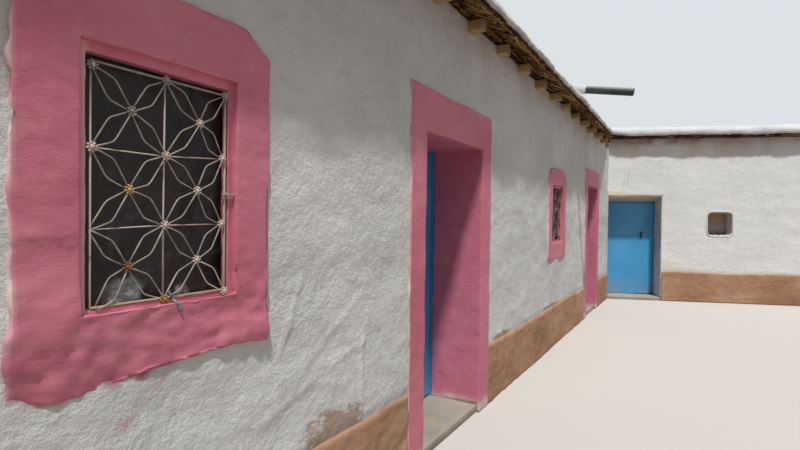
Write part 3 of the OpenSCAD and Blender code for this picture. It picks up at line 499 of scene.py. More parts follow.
WASH = make_material("limewash_on_hand_laid_mud", limewash, True)
# Painted light: the wing's copy of the limewash is drawn lighter, as the wing takes more light, and the ridges' copy
# darker, as their tops take the most
WASH_WING = make_material("limewash_on_trowelled_mud", limewash, True, 0.6, ("#e2e5e4", "#eaecea", "#f0f1ee"))
WASH_RIDGE = make_material("limewash_on_ridges", limewash, False, 1.3, ("#d2d4d3", "#dddfdd", "#e6e7e4"))
WASH_PLAIN = make_material("limewash_indoors", limewash, False, 0.6)
MUD = make_material("hand_smoothed_mud_render", mud_render, "#9a7258", "#b28b70", "#c6a286")
ROSE = make_material("rose_oil_paint_on_plaster", rose_paint)
PLASTER = make_material("bare_rubbed_plaster", bare_plaster)
SCREED = make_material("trodden_screed", worn_screed)
ROOF_EARTH = make_material("tamped_roof_earth", mud_render, "#7c5d43", "#94735a", "#ab8c6d")
POLE_LONG = make_material("axe_squared_poplar", weathered_pole, math.pi / 2)
POLE_WING = make_material("axe_squared_poplar_wing", weathered_pole, SPLAY)
TWIGS = make_material("dry_twigs_and_cane", dry_twigs)
PACKED = make_material("earth_between_twigs", packed_earth)
REEDS = make_material("reed_bed", reed_bed)
ENAMEL = make_material("blue_enamel_on_sheet_steel", blue_enamel)
SILVERED = make_material("silvered_mild_steel", silvered_steel, 0.6)
RUSTY = make_material("rusted_mild_steel", silvered_steel, 0.44)
SHEET = make_material("creased_dusty_plastic", dusty_sheet)
STRAP = make_material("woven_plastic_strap", faded_strap)
PIPE = make_material("weathered_painted_pipe", weathered_pipe)
CARD = make_material("old_cardboard", old_card)
LOCK = make_material("oiled_lock_steel", lock_steel)


# Shared ways of making a piece
def finish_piece(bm, name, material, body="house", smooth=True, hides=()):
    """Makes the object, gives it its material, and lets it ride on its body."""
    mesh = bpy.data.meshes.new(name)
    bm.to_mesh(mesh)
    bm.free()
    mesh.materials.append(material)
    if smooth:
        mesh.polygons.foreach_set("use_smooth", [True] * len(mesh.polygons))
    piece = bpy.data.objects.new(name, mesh)
    bpy.context.scene.collection.objects.link(piece)
    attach(piece, body)
    if hides:
        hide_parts(*hides)
    return piece


def join_into(bm, part):
    """Moves a part into the mesh that is being built."""
    carry = bpy.data.meshes.new("carry")
    part.to_mesh(carry)
    part.free()
    bm.from_mesh(carry)
    bpy.data.meshes.remove(carry)


def face_out(bm, outward):
    """Turns the faces so that, taken together, they look outward."""
    bmesh.ops.recalc_face_normals(bm, faces=bm.faces[:])
    if sum(f.normal.dot(outward) * f.calc_area() for f in bm.faces) < 0:
        bmesh.ops.reverse_faces(bm, faces=bm.faces[:])


def lumps(point, layers):
    """Sum of noise layers, each (size in metres, height in metres), with flat-lying lumps."""
    total = 0.0
    for n, (size, height) in enumerate(layers):
        spot = Vector((point.x / size, point.y / size, point.z * 1.5 / size)) + Vector((7.1, 3.3, 5.7)) * (n + 1)
        total += height * noise.noise(spot)
    return total


def ease(value, low, high):
    """0 below the low value, 1 above the high one, and a soft rise between them."""
    share = min(1.0, max(0.0, (value - low) / (high - low)))
    return share * share * (3 - 2 * share)


def along_path(value, path):
    """Second coordinate of a path of points at a first coordinate."""
    for (a, p), (b, q) in zip(path, path[1:]):
        if value <= b:
            return p + (q - p) * min(1.0, max(0.0, (value - a) / max(b - a, 1e-6)))
    return path[-1][1]


def off_path(x, z, path):
    """Distance of a place on a wall from a line drawn on it."""
    best = 9.0
    for (ax, az), (bx, bz) in zip(path, path[1:]):
        run = Vector((bx - ax, bz - az))
        spot = Vector((x - ax, z - az))
        share = min(1.0, max(0.0, spot.dot(run) / run.length_squared))
        best = min(best, (spot - run * share).length)
    return best


def node_mesh(node):
    """A copy of a node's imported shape, with its loose triangles joined up."""
    bm = bmesh.new()
    bm.from_mesh(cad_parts[node].data)
    bmesh.ops.remove_doubles(bm, verts=bm.verts[:], dist=0.00005)
    return bm


def whole_faces(bm):
    """Makes one face of the faces that lie in one plane."""
    bmesh.ops.dissolve_limit(bm, angle_limit=0.01, use_dissolve_boundaries=False, verts=bm.verts[:],
                             edges=bm.edges[:], delimit=set())


def from_node(node):
    """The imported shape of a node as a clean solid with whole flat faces."""
    bm = node_mesh(node)
    whole_faces(bm)
    return bm


def round_edges(bm, edges, width, segments):
    bmesh.ops.bevel(bm, geom=edges, offset=width, offset_type="OFFSET", segments=segments, profile=0.5,
                    affect="EDGES", clamp_overlap=True, material=-1)


def soften(bm, width, least=0.15, segments=2):
    """Rounds the sharp edges that are at least so long."""
    round_edges(bm, [e for e in bm.edges if len(e.link_faces) == 2 and e.calc_length() > least
                     and e.calc_face_angle(0) > 0.6], width, segments)


def cut(bm, spot, facing, near=0.0005):
    """Cuts the whole mesh by a plane through a spot."""
    bmesh.ops.bisect_plane(bm, geom=bm.verts[:] + bm.edges[:] + bm.faces[:], dist=near, plane_co=spot,
                           plane_no=facing)


def slice_up(bm, step, *directions):
    """Cuts all faces by parallel planes, a step apart, across each direction in turn."""
    for direction in directions:
        along = [v.co.dot(direction) for v in bm.verts]
        low, high = min(along), max(along)
        count = int((high - low) / step)
        for n in range(1, count + 1):
            cut(bm, direction * (low + (high - low) * n / (count + 1)), direction)


def mark(bm, name, amount):
    """Paints a mark on the vertices, from 0 to 1, by their place from the inner corner."""
    layer = bm.verts.layers.float.new(name)
    for v in bm.verts:
        v[layer] = min(1.0, max(0.0, amount(v.co - CORNER)))


def blob(a, b, spots):
    """1 in the middle of the nearest of the (place, place, half width, half height) spots, 0 outside."""
    return max(1 - ((a - sa) / wide) ** 2 - ((b - sb) / tall) ** 2 for sa, sb, wide, tall in spots)


# Render coat on the walls: one uneven skin for each face, rounded at the outer corners
COAT = 0.011
CORNER_ROUND = 0.037
# The coats start behind the mud band and end behind the copings
COAT_FOOT = 0.42
WING_HEAD = 3.092
REAR_HEAD = 3.052
COAT_LAYERS = [(0.85, 0.009), (0.3, 0.008), (0.12, 0.0035), (0.05, 0.0024), (0.025, 0.0018)]
# Laps where one armful of mud ends on the next, and their height
LAPS = [[(-8.40, 1.14), (-8.458, 1.11), (-8.655, 0.975), (-8.827, 0.878)],
        [(-8.38, 0.90), (-8.41, 0.877), (-8.653, 0.845)],
        [(-8.393, 0.898), (-8.4, 0.392)],
        [(-8.98, 0.957), (-8.852, 1.249)],
        [(-9.1, 0.70), (-8.8, 0.79), (-8.62, 0.74)]]
LAP_RISE = 0.005
# Foot of the painted band round the first window
FOOT_LINE = [(-9.933, 1.057), (-9.811, 1.018), (-9.707, 1.025), (-9.557, 1.039), (-9.377, 1.05), (-9.203, 1.054),
             (-9.078, 1.04)]


def half_turn(i):
    """Half of the plan's turn at a corner, or 0 at the inner one."""
    if i % 6 == 1:
        return 0.0
    return FACES[i % 6 - 1].run.angle(FACES[i % 6].run) / 2


def face_path(i, base):
    """Place on face i: distance along it and lift from it become a point, round the corners too."""
    start, run, out, length = FACES[i]
    first, last = half_turn(i), half_turn(i + 1)
    near = (CORNER_ROUND - base) * math.tan(first)
    far = length - (CORNER_ROUND - base) * math.tan(last)

    def place(a, lift, z):
        if a < near and first:
            angle = (near - a) / CORNER_ROUND
            centre = start + run * near - out * (CORNER_ROUND - base)
            facing = Matrix.Rotation(-angle, 3, "Z") @ out
            return centre + facing * (CORNER_ROUND + lift - base) + UP * z
        if a > far and last:
            angle = (a - far) / CORNER_ROUND
            centre = start + run * far - out * (CORNER_ROUND - base)
            facing = Matrix.Rotation(angle, 3, "Z") @ out
            return centre + facing * (CORNER_ROUND + lift - base) + UP * z
        return start + run * a + out * lift + UP * z

    return place, near - CORNER_ROUND * first, far + CORNER_ROUND * last


def face_skin(bm, i, span, low, high, columns, rows, base, layers, holes=(), crowd=None, top_wave=None,
              roll=0.022, laps=(), thin_below=0.47):
    """Adds an uneven skin on face i, with its openings cut and its edges turned in to the wall."""
    place, first, last = face_path(i, base)
    a0, a1 = (first, last) if span is None else span
    skin = bmesh.new()
    bmesh.ops.create_grid(skin, x_segments=columns, y_segments=rows, size=0.5)
    for v in skin.verts:
        share = v.co.x + 0.5
        if crowd:
            share = along_path(share, ((0.0, 0.0), crowd, (1.0, 1.0)))
        v.co = Vector((a0 + (a1 - a0) * share, 0, low + (high - low) * (v.co.y + 0.5)))
    for ha, hb, za, zb in holes:
        for spot, facing in ((Vector((ha, 0, 0)), X), (Vector((hb, 0, 0)), X), (Vector((0, 0, za)), UP),
                             (Vector((0, 0, zb)), UP)):
            cut(skin, spot, facing, 0.0004)
    gone = []
    for f in skin.faces:
        c = f.calc_center_median()
        if any(ha < c.x < hb and za < c.z < zb for ha, hb, za, zb in holes):
            gone.append(f)
    bmesh.ops.delete(skin, geom=gone, context="FACES")

    def from_hole(p):
        best = 1.0
        for ha, hb, za, zb in holes:
            best = min(best, math.hypot(max(ha - p.x, 0, p.x - hb), max(za - p.z, 0, p.z - zb)))
        return best

    made = bmesh.ops.extrude_edge_only(skin, edges=[e for e in skin.edges if e.is_boundary])
    turned = {v for v in made["geom"] if isinstance(v, bmesh.types.BMVert)}
    for v in skin.verts:
        a, z = v.co.x, v.co.z
        if top_wave and z > low:
            z = low + (z - low) / (high - low) * (high + top_wave(a) - low)
        if v in turned:
            v.co = place(a, -0.004, z)
            continue
        lift = base + lumps(place(a, 0.0, z), layers)
        for lap in laps:
            lift += LAP_RISE * (1 - ease(off_path(a - LONG_WING, z, lap), 0.0, 0.028))
        if roll and holes:
            lift *= 0.35 + 0.65 * ease(from_hole(v.co), 0.0, roll)
        if top_wave:
            lift *= 0.45 + 0.55 * ease(high + top_wave(a) - z, 0.0, 0.02)
        else:
            lift *= 0.3 + 0.7 * ease(z, thin_below, thin_below + 0.06)
        v.co = place(a, max(lift, 0.002), z)
    face_out(skin, FACES[i].out)
    join_into(bm, skin)


def opening(at, width, low, high, margin=0.05):
    """Hole in the long wing's skin, as distances from its west end."""
    centre = LONG_WING - at
    return (centre - width / 2 - margin, centre + width / 2 + margin, low - margin, high + margin)


# Doorways are cut from well below the ground
BELOW = -1.0
WINDOW_HOLES = [opening(at, WINDOW_WIDTH, sill, sill + tall) for at, sill, tall, *rest in WINDOWS.values()]
DOOR_HOLES = [opening(at, width, BELOW, DOOR_TOP) for at, width in DOORWAYS]


def wall_coats():
    """The coats, with their worn places, older paint and cracks marked."""
    bm = bmesh.new()
    face_skin(bm, 0, (face_path(0, COAT)[1], LONG_WING + 0.012), COAT_FOOT, BEAM_TOP, 600, 142, COAT, COAT_LAYERS,
              WINDOW_HOLES + DOOR_HOLES, crowd=(0.6, 0.31), laps=LAPS)
    mark(bm, "bare", lambda p: 0.68 * blob(p.x, p.z, [(-8.62, 0.52, 0.48, 0.22), (-9.3, 0.47, 0.5, 0.1),
                                                      (-6.2, 0.5, 0.5, 0.07), (-4.4, 0.5, 0.9, 0.06)]))
    streak = [(-9.47, 1.03), (-9.547, 0.963), (-9.611, 0.908), (-9.704, 0.854)]
    mark(bm, "pink", lambda p: 0.5 * (1 - ease(off_path(p.x, p.z, streak), 0.004, 0.03))
         * (0.5 + lumps(p, [(0.06, 1.0)])))
    mark(bm, "rose", lambda p: ease(p.z - along_path(p.x, FOOT_LINE) + lumps(p, [(0.06, 0.03)]), -0.008, 0.008)
         * (1 - ease(p.z, 1.2, 1.22)) * ease(p.x, -9.935, -9.92) * (1 - ease(p.x, -9.5, -9.45)))
    mark(bm, "crack", lambda p: 0.5 * blob(p.x, p.z, [(-8.233, 0.919, 0.012, 0.02)]))
    finish_piece(bm, "coat_long_front", WASH)
    bm = bmesh.new()
    face_skin(bm, 1, (-0.012, face_path(1, COAT)[2]), COAT_FOOT, WING_HEAD, 330, 124, COAT,
              [(0.85, 0.007), (0.3, 0.005), (0.12, 0.002), (0.05, 0.001)],
              [(-0.05, 0.983, BELOW, 1.993), (VENT[0] - VENT[1] / 2, VENT[0] + VENT[1] / 2, VENT[2], VENT[3])],
              thin_below=0.545)
    cracks = [[(0.31, 2.42), (0.3, 2.3), (0.259, 2.107)], [(0.39, 2.49), (0.36, 2.3), (0.35, 2.16)]]
    mark(bm, "crack", lambda p: 0.3 * max(1 - off_path(p.dot(ALONG), p.z, line) / 0.016 for line in cracks))
    mark(bm, "umber", lambda p: ease(p.z, 2.9, 3.06) * (0.75 - 0.35 * ease(p.dot(ALONG), 0.8, 2.5))
         * (0.8 + lumps(p, [(0.3, 0.7), (0.1, 0.5)])))
    lintel = [(0.0, 2.107), (0.86, 2.014)]
    mark(bm, "cream", lambda p: max(ease(along_path(p.dot(ALONG), lintel) - p.z, 0.0, 0.02)
                                    * (1 - ease(p.dot(ALONG), 0.82, 0.9)),
                                    0.7 * blob(p.dot(ALONG), p.z, [(1.15, 0.66, 0.25, 0.1)])))
    mark(bm, "bare", lambda p: 0.3 * blob(p.dot(ALONG), p.z, [(1.2, 0.58, 0.3, 0.04)]))
    finish_piece(bm, "coat_wing_front", WASH_WING)
    for name, faces in (("coat_rear", (2, 4)), ("coat_sides", (3, 5))):
        bm = bmesh.new()
        for i in faces:
            face_skin(bm, i, None, COAT_FOOT, REAR_HEAD, int(FACES[i].length / 0.04), 64, COAT, COAT_LAYERS)
        finish_piece(bm, name, WASH)


wall_coats()


# Mud band at the foot of the walls, with the uneven top edge of a hand-laid coat
BAND = 0.02
LONG_BAND = 0.485
WING_BAND = 0.558
REAR_BAND = 0.49


def band_wave(shift):
    """Rise and fall of a band's top edge along its face, different for each shift."""
    def wave(a):
        spot = Vector((a + shift, shift, 0))
        return 0.022 * noise.noise(spot / 0.9) + 0.012 * noise.noise(spot / 0.22) + 0.004 * noise.noise(spot / 0.06)
    return wave


def mud_bands():
    layers = [(0.6, 0.006), (0.2, 0.006), (0.07, 0.005), (0.03, 0.003)]
    bm = bmesh.new()
    ends = [face_path(0, BAND)[1]]
    for at, width in DOORWAYS:
        ends += [LONG_WING - at - width / 2 - BAND_SIDE, LONG_WING - at + width / 2 + BAND_SIDE]
    ends.append(LONG_WING + 0.02)
    for a, b in zip(ends[::2], ends[1::2]):
        face_skin(bm, 0, (a, b), 0.0, LONG_BAND, max(8, int((b - a) / (0.012 if a < 1 else 0.022))), 24, BAND, layers,
                  top_wave=band_wave(2.0), roll=0)
    face_skin(bm, 1, (0.995, face_path(1, BAND)[2]), 0.0, WING_BAND, 210, 24, BAND, layers,
              top_wave=band_wave(9.0), roll=0)
    finish_piece(bm, "mud_band_courtyard", MUD, hides=("plinth_courtyard",))
    for name, node, faces in (("mud_band_rear", "plinth_rear", (2, 4)), ("mud_band_sides", "plinth_sides", (3, 5))):
        bm = bmesh.new()
        for i in faces:
            face_skin(bm, i, None, 0.0, REAR_BAND, int(FACES[i].length / 0.04), 14, BAND, layers,
                      top_wave=band_wave(14.0 + i), roll=0)
        finish_piece(bm, name, MUD, hides=(node,))


mud_bands()


# Copings: rounded ridges of limewashed mud, one along each face, joined at the mitres
RIDGE_IN = -0.35
# Reach of each face's ridge over the wall
REACH = [0.30, 0.22, 0.045, 0.045, 0.045, 0.045]
# Sections of the ridges as (reach, height)
RIDGES = {0: [(-0.35, 3.262), (-0.25, 3.30), (-0.15, 3.326), (-0.06, 3.333), (0.0, 3.318), (0.1, 3.207),
              (0.2, 3.082), (0.28, 2.982), (0.30, 2.945)],
          1: [(-0.35, 3.262), (-0.25, 3.298), (-0.15, 3.32), (-0.07, 3.326), (0.0, 3.312), (0.13, 3.276),
              (0.19, 3.245), (0.213, 3.215), (0.22, 3.185)]}
SIDE_RIDGE = [(-0.35, 3.262), (-0.25, 3.30), (-0.15, 3.324), (-0.08, 3.332), (-0.03, 3.328), (0.0, 3.312),
              (0.025, 3.288), (0.04, 3.25), (0.045, 3.19)]
# Spacing of the mesh along a ridge, and how far from a corner neighbours take each other's height
RIDGE_STEP = 0.032
MITRE = 0.3
# The long eaves' west end is rounded off within this length, towards this point
ROUNDED_END = 0.09
END_POINT = inner(-LONG_WING, -0.19, 3.0)
# Rows of the mesh as shares of the width, over the nose and then back under it, with the heights there
SHARES = [0.0, 0.15, 0.3, 0.42, 0.52, 0.6, 0.67, 0.74, 0.8, 0.86, 0.91, 0.95, 0.98, 1.0]
UNDER_SHARES = [0.992, 0.965, 0.92, 0.86]
UNDER = {0: [2.93, 2.926, 2.94, 2.972], 1: [3.145, 3.122, 3.122, 3.13]}
SIDE_UNDER = [3.10, 3.07, 3.064, 3.064]


def ring_corner(i, reach_before, reach):
    """Where face i - 1 and face i meet, each moved outwards by its own reach."""
    before, after = FACES[i % 6 - 1], FACES[i % 6]
    p, u = before.start + before.out * reach_before, before.run
    q, v = after.start + after.out * reach, after.run
    d = q - p
    return p + u * ((d.x * v.y - d.y * v.x) / (u.x * v.y - u.y * v.x))


# What is left of the long eaves' reach, by the distance to the inner corner
NARROWING = [(-1.9, 1.0), (-1.3, 0.88), (-0.65, 0.48), (-0.25, 0.25)]


def narrowed(point):
    """Draws a point of the long eaves in and up the slope, where they narrow towards the inner corner."""
    reach = CORNER.y - point.y
    if reach > 0:
        drawn_in = reach * along_path(point.x - CORNER.x, NARROWING)
        point.y = CORNER.y - drawn_in
        point.z += along_path(drawn_in, RIDGES[0]) - along_path(reach, RIDGES[0])
    return point


def inner_mitre(share):
    """Where the long eaves, narrowed, meet the wing's at the inner corner."""
    r = RIDGE_IN + (REACH[0] - RIDGE_IN) * share
    return ring_corner(1, r * NARROWING[-1][1] if r > 0 else r, RIDGE_IN + (REACH[1] - RIDGE_IN) * share)


def ridge_height(i, share, row):
    """Height of ridge i at a share of its width, over the nose or under it."""
    if row >= len(SHARES):
        return UNDER.get(i, SIDE_UNDER)[row - len(SHARES)]
    return along_path(RIDGE_IN + (REACH[i] - RIDGE_IN) * share, RIDGES.get(i, SIDE_RIDGE))


def ridge_part(bm, i):
    """Adds the ridge along face i; the long front one runs on under its neighbours, below their feet."""
    j, h = (i + 1) % 6, (i + 5) % 6
    near_in, far_in = ring_corner(i, RIDGE_IN, RIDGE_IN), ring_corner(j, RIDGE_IN, RIDGE_IN)
    near_out, far_out = ring_corner(i, REACH[h], REACH[i]), ring_corner(j, REACH[i], REACH[j])
    run = (far_out - near_out).normalized()
    out = Vector((run.y, -run.x, 0))
    length = (far_out - near_out).length
    rows = len(SHARES) + len(UNDER_SHARES)
    ridge = bmesh.new()
    bmesh.ops.create_grid(ridge, x_segments=int(length / RIDGE_STEP), y_segments=rows - 1, size=0.5)
    for v in ridge.verts:
        t = v.co.x + 0.5
        row = round((v.co.y + 0.5) * (rows - 1))
        share = (SHARES + UNDER_SHARES)[row]
        lower = ease(share, 0.62, 0.8)
        reach = RIDGE_IN + (REACH[i] - RIDGE_IN) * share
        start, end = near_in.lerp(near_out, share), far_in.lerp(far_out, share)
        z = ridge_height(i, share, row)
        if i == 0:
            x = start.lerp(inner(-LONG_WING, 0), lower).x
            point = narrowed(Vector((x + (inner_mitre(share).x - x) * t, CORNER.y - reach, z)))
            z = point.z
        else:
            point = (inner_mitre(share) if i == 1 else start).lerp(end, t)
        # At the west corner the long front ridge stops short, under the foot of the side one
        for k, gap in ((h, t * length), (j, (1 - t) * length)):
            weight = {(0, 5): 0.5 - 0.5 * lower, (5, 0): 0.5 + 0.5 * lower}.get((i, k), 0.5)
            other = ridge_height(k, share, row)
            if (i, k) == (1, 0):
                other = narrowed(inner(0, -(RIDGE_IN + (REACH[0] - RIDGE_IN) * share), other)).z
            z += weight * (1 - ease(gap, 0.0, MITRE)) * (other - z)
        if i == 5 or (i == 1 and row >= len(SHARES)):
            z = max(z, BRUSH_TOP + 0.003)
        point.z = z
        swell = lumps(point, [(0.9, 0.012), (0.25, 0.012), (0.08, 0.008), (0.035, 0.004)])
        nose = ease(share, 0.55, 1.0)
        point += UP * swell * (1 - 0.6 * nose) + out * nose * (
            swell * 0.9 + lumps(Vector((point.x, point.y, 0)), [(0.4, 0.012), (0.13, 0.01)]))
        if row >= len(SHARES) - 1:
            point.z += lumps(Vector((point.x, point.y, 3.0)), [(0.16, 0.014), (0.06, 0.012)])
        if i == 0:
            round_off = 1 - math.sqrt(1 - (1 - min(1.0, t * length / ROUNDED_END)) ** 2)
            point = point.lerp(END_POINT, lower * round_off)
        point.x = min(max(point.x, LOWEST.x + 0.001), HIGHEST.x - 0.001)
        point.y = min(max(point.y, LOWEST.y + 0.001), HIGHEST.y - 0.001)
        v.co = point
    face_out(ridge, UP)
    join_into(bm, ridge)


def copings():
    """A piece for each node of the copings."""
    for name, node, faces in (("ridge_long_front", "front_coping", (0,)), ("ridge_wing_front", "wing_coping", (1,)),
                              ("ridge_rear", "rear_coping", (2, 4)), ("ridge_sides", "side_coping", (3, 5))):
        bm = bmesh.new()
        for i in faces:
            ridge_part(bm, i)
        finish_piece(bm, name, WASH_RIDGE, hides=(node,))


copings()


# Brushwood: cane and twigs over the beam tips, with earth packed between them
BEAM_TIP = 0.12
DROOP = 0.576


def droop(reach):
    """How far the brushwood hangs down at a reach from the long wing's face, past the beam tips."""
    return DROOP * max(0.0, reach - BEAM_TIP)


def twig_shapes():
    """A few bent, tapered twigs of unit length along X."""
    shapes = []
    for n in range(5):
        shape = bmesh.new()
        bmesh.ops.create_cone(shape, cap_ends=True, segments=6, radius1=1.0, radius2=0.72, depth=1.0,
                              matrix=Matrix.Rotation(math.pi / 2, 4, "Y"))
        for at in (-0.22, 0.2):
            cut(shape, X * at, X, 0.0001)
        for v in shape.verts:
            bend = 0.9 * math.cos(v.co.x * math.pi)
            v.co.y += bend * (0.9 if n % 2 else -0.7) * (0.4 + 0.2 * n)
            v.co.z += bend * (0.3 if n > 2 else -0.25)
        mesh = bpy.data.meshes.new(f"twig_{n}")
        shape.to_mesh(mesh)
        shape.free()
        shapes.append(mesh)
    return shapes


TWIG_SHAPES = twig_shapes()


def add_twig(bm, dice, start, end, radius, tone_layer, pale=0.0):
    """Lays one of the twigs from start to end, in a brown of its own, which the last argument shifts as painted light
    and shade.
    """
    count = len(bm.verts)
    bm.from_mesh(dice.choice(TWIG_SHAPES))
    bm.verts.ensure_lookup_table()
    run = end - start
    length = run.length
    turn = run.to_track_quat("X", "Z").to_matrix() @ Matrix.Rotation(dice.uniform(0, 6.28), 3, "X")
    middle = (start + end) / 2
    tone = min(1.0, max(0.0, dice.random() + pale))
    for v in bm.verts[count:]:
        v.co = middle + turn @ Vector((v.co.x * length, v.co.y * radius, v.co.z * radius))
        v[tone_layer] = tone


def eaves_twigs():
    """Brushwood of the long wing, drawn in with the eaves at the inner corner."""
    dice = random.Random(41)
    bm = bmesh.new()
    tone = bm.verts.layers.float.new("tone")
    # Cane along the eaves
    for row in range(12):
        reach = 0.015 + 0.0225 * row
        x = -LONG_WING + 0.02
        while x < -0.1:
            length = dice.uniform(0.35, 1.1)
            if dice.random() < 0.8:
                a, b = reach + dice.uniform(-0.012, 0.012), reach + dice.uniform(-0.03, 0.03)
                a, b = (min(0.272, max(0.008, r)) for r in (a, b))
                end = min(x + length, 0.03 + 0.3 * reach)
                radius = dice.uniform(0.005, 0.0105)
                lift = dice.uniform(0.008, 0.02)
                # Cane near the wall is drawn darker as painted shade under the brushwood, cane further out lighter as
                # painted light
                add_twig(bm, dice, inner(x, -a, BEAM_TOP - droop(a) + lift),
                         inner(end, -b, BEAM_TOP - droop(b) + lift), radius, tone, -0.25 if reach < 0.1 else 0.1)
            x += length * dice.uniform(0.8, 1.15)
    # Twigs across, over the beams and out to the edge
    x = -LONG_WING + 0.03
    while x < 0.02:
        tip = dice.uniform(0.2, 0.284)
        inmost = dice.uniform(0.06, 0.13)
        side = dice.uniform(-0.06, 0.06)
        lift = dice.uniform(0.012, 0.034)
        add_twig(bm, dice, inner(x, -inmost, BEAM_TOP - droop(inmost) + lift + 0.006),
                 inner(min(x + side, 0.06), -tip, BEAM_TOP - droop(tip) + lift * 0.8),
                 dice.uniform(0.0045, 0.0105), tone)
        if dice.random() < 0.7:
            lift = dice.uniform(0.012, 0.034)
            # Twigs over the beams against the wall are drawn darker as painted shade
            add_twig(bm, dice, inner(x - side, 0.03, BEAM_TOP + lift),
                     inner(x, -dice.uniform(0.08, 0.14), BEAM_TOP + lift), dice.uniform(0.0045, 0.01), tone, -0.2)
        x += dice.uniform(0.009, 0.026)
    for v in bm.verts:
        v.co = narrowed(v.co)
    finish_piece(bm, "eaves_twigs", TWIGS, hides=("eaves_brushwood",))


def earth_strip(name, start, run, out, length, reach_in, reach_out, low, high, step, layers, hang=None, hides=()):
    """Lumpy bar of packed earth along a wall head."""
    bm = bmesh.new()
    bmesh.ops.create_cube(bm, size=1.0)
    for v in bm.verts:
        a = (v.co.x + 0.5) * length
        r = reach_in + (reach_out - reach_in) * (v.co.y + 0.5)
        v.co = start + run * a + out * r + UP * (low + (high - low) * (v.co.z + 0.5))
    bmesh.ops.recalc_face_normals(bm, faces=bm.faces[:])
    slice_up(bm, step, run)
    slice_up(bm, step * 0.8, UP)
    slice_up(bm, step, out)
    if hang:
        for v in bm.verts:
            v.co.z -= hang((v.co - start).dot(out))
    bm.normal_update()
    for v in bm.verts:
        v.co += v.normal * lumps(v.co, layers)
        if hang:
            v.co = narrowed(v.co)
    finish_piece(bm, name, PACKED, hides=hides)


def wing_twigs():
    """Debris and twigs under the short wing's coping."""
    dice = random.Random(77)
    bm = bmesh.new()
    tone = bm.verts.layers.float.new("tone")
    u = 0.04
    while u < SHORT_WING - 0.02:
        z = BRUSH_TOP + dice.uniform(0.03, 0.07)
        tip = dice.uniform(0.1, 0.2)
        if dice.random() < 0.6:
            add_twig(bm, dice, wing(u, dice.uniform(-0.09, 0.03), z),
                     wing(u + dice.uniform(-0.05, 0.05), -tip, z - dice.uniform(0, 0.004)),
                     dice.uniform(0.005, 0.0115), tone)
        else:
            length = dice.uniform(0.12, 0.45)
            a, b = dice.uniform(0.01, 0.18), dice.uniform(0.01, 0.18)
            b = a + (b - a) * 0.3
            add_twig(bm, dice, wing(u, -a, z),
                     wing(min(u + length, SHORT_WING + 0.02), -b, z - dice.uniform(0, 0.004)),
                     dice.uniform(0.005, 0.01), tone)
        u += dice.uniform(0.012, 0.03)
    finish_piece(bm, "wing_head_twigs", TWIGS)


eaves_twigs()
earth_strip("eaves_packed_earth", inner(-LONG_WING + 0.02, 0), X, -Y, LONG_WING + 0.03,
            -0.03, 0.272, BEAM_TOP + 0.026, BEAM_TOP + 0.056, 0.032, [(0.14, 0.012), (0.05, 0.014)],
            droop)
wing_twigs()
earth_strip("wing_head_earth", wing(-0.02, 0), ALONG, -INTO, SHORT_WING + 0.05, -0.19, 0.165, BRUSH_TOP + 0.034,
            WING_BRUSH_TOP + 0.004, 0.03, [(0.2, 0.014), (0.07, 0.02), (0.03, 0.012)],
            hides=("wing_eaves_brushwood",))


# Roof beams: squared poles, slightly bent, with sawn ends
POLE_WIDE = 0.08
POLE_HIGH = 0.088


def add_pole(bm, dice, start, end, width, height):
    pole = bmesh.new()
    bmesh.ops.create_cube(pole, size=1.0)
    run = end - start
    length = run.length
    bmesh.ops.scale(pole, vec=(length, width, height), verts=pole.verts[:])
    long_edges = [e for e in pole.edges if abs((e.verts[0].co - e.verts[1].co).x) > length * 0.9]
    round_edges(pole, long_edges, min(width, height) * 0.2, 3)
    ends = [f for f in pole.faces if abs(f.normal.x) > 0.9]
    bmesh.ops.inset_region(pole, faces=ends, thickness=0.006, depth=0.0, use_even_offset=True)
    count = max(2, int(length / 0.3))
    for at in [length * (n / count - 0.5) for n in range(1, count)] + [0.004 - length / 2, length / 2 - 0.004]:
        cut(pole, X * at, X)
    layer = pole.verts.layers.float.new("sawn")
    seed = dice.uniform(0, 100)
    turn = run.to_track_quat("X", "Z").to_matrix()
    middle = (start + end) / 2
    twist = dice.uniform(-0.05, 0.05)
    for v in pole.verts:
        v[layer] = 1.0 if abs(abs(v.co.x) - length / 2) < 0.0005 else 0.0
        slow = Vector((v.co.x * 0.9, seed, 0))
        swell = 1 + 0.07 * noise.noise(Vector((v.co.x * 2.2, seed, 8)))
        p = Vector((v.co.x, v.co.y * swell, v.co.z * swell))
        p += Vector((0, 0.008 * noise.noise(slow), 0.004 * noise.noise(slow + Vector((0, 0, 5)))))
        p += Vector((0, 0.002, 0.002)) * noise.noise(Vector((v.co.x * 9, v.co.y * 40, v.co.z * 40 + seed)))
        v.co = middle + turn @ (Matrix.Rotation(twist, 3, "X") @ p)
    join_into(bm, pole)


def beam_lines(node, run):
    """Start and end of each beam of a node, read from its loose parts."""
    bm = node_mesh(node)
    left = set(bm.verts)
    side = Vector((-run.y, run.x, 0))
    found = []
    while left:
        queue = [left.pop()]
        part = list(queue)
        while queue:
            v = queue.pop()
            for e in v.link_edges:
                w = e.other_vert(v)
                if w in left:
                    left.remove(w)
                    queue.append(w)
                    part.append(w)
        a = [v.co.dot(run) for v in part]
        b = [v.co.dot(side) for v in part]
        z = [v.co.z for v in part]
        middle = side * ((min(b) + max(b)) / 2) + UP * ((min(z) + max(z)) / 2)
        found.append((run * min(a) + middle, run * max(a) + middle))
    bm.free()
    return sorted(found, key=lambda pair: (round(pair[0].x, 3), round(pair[0].y, 3)))


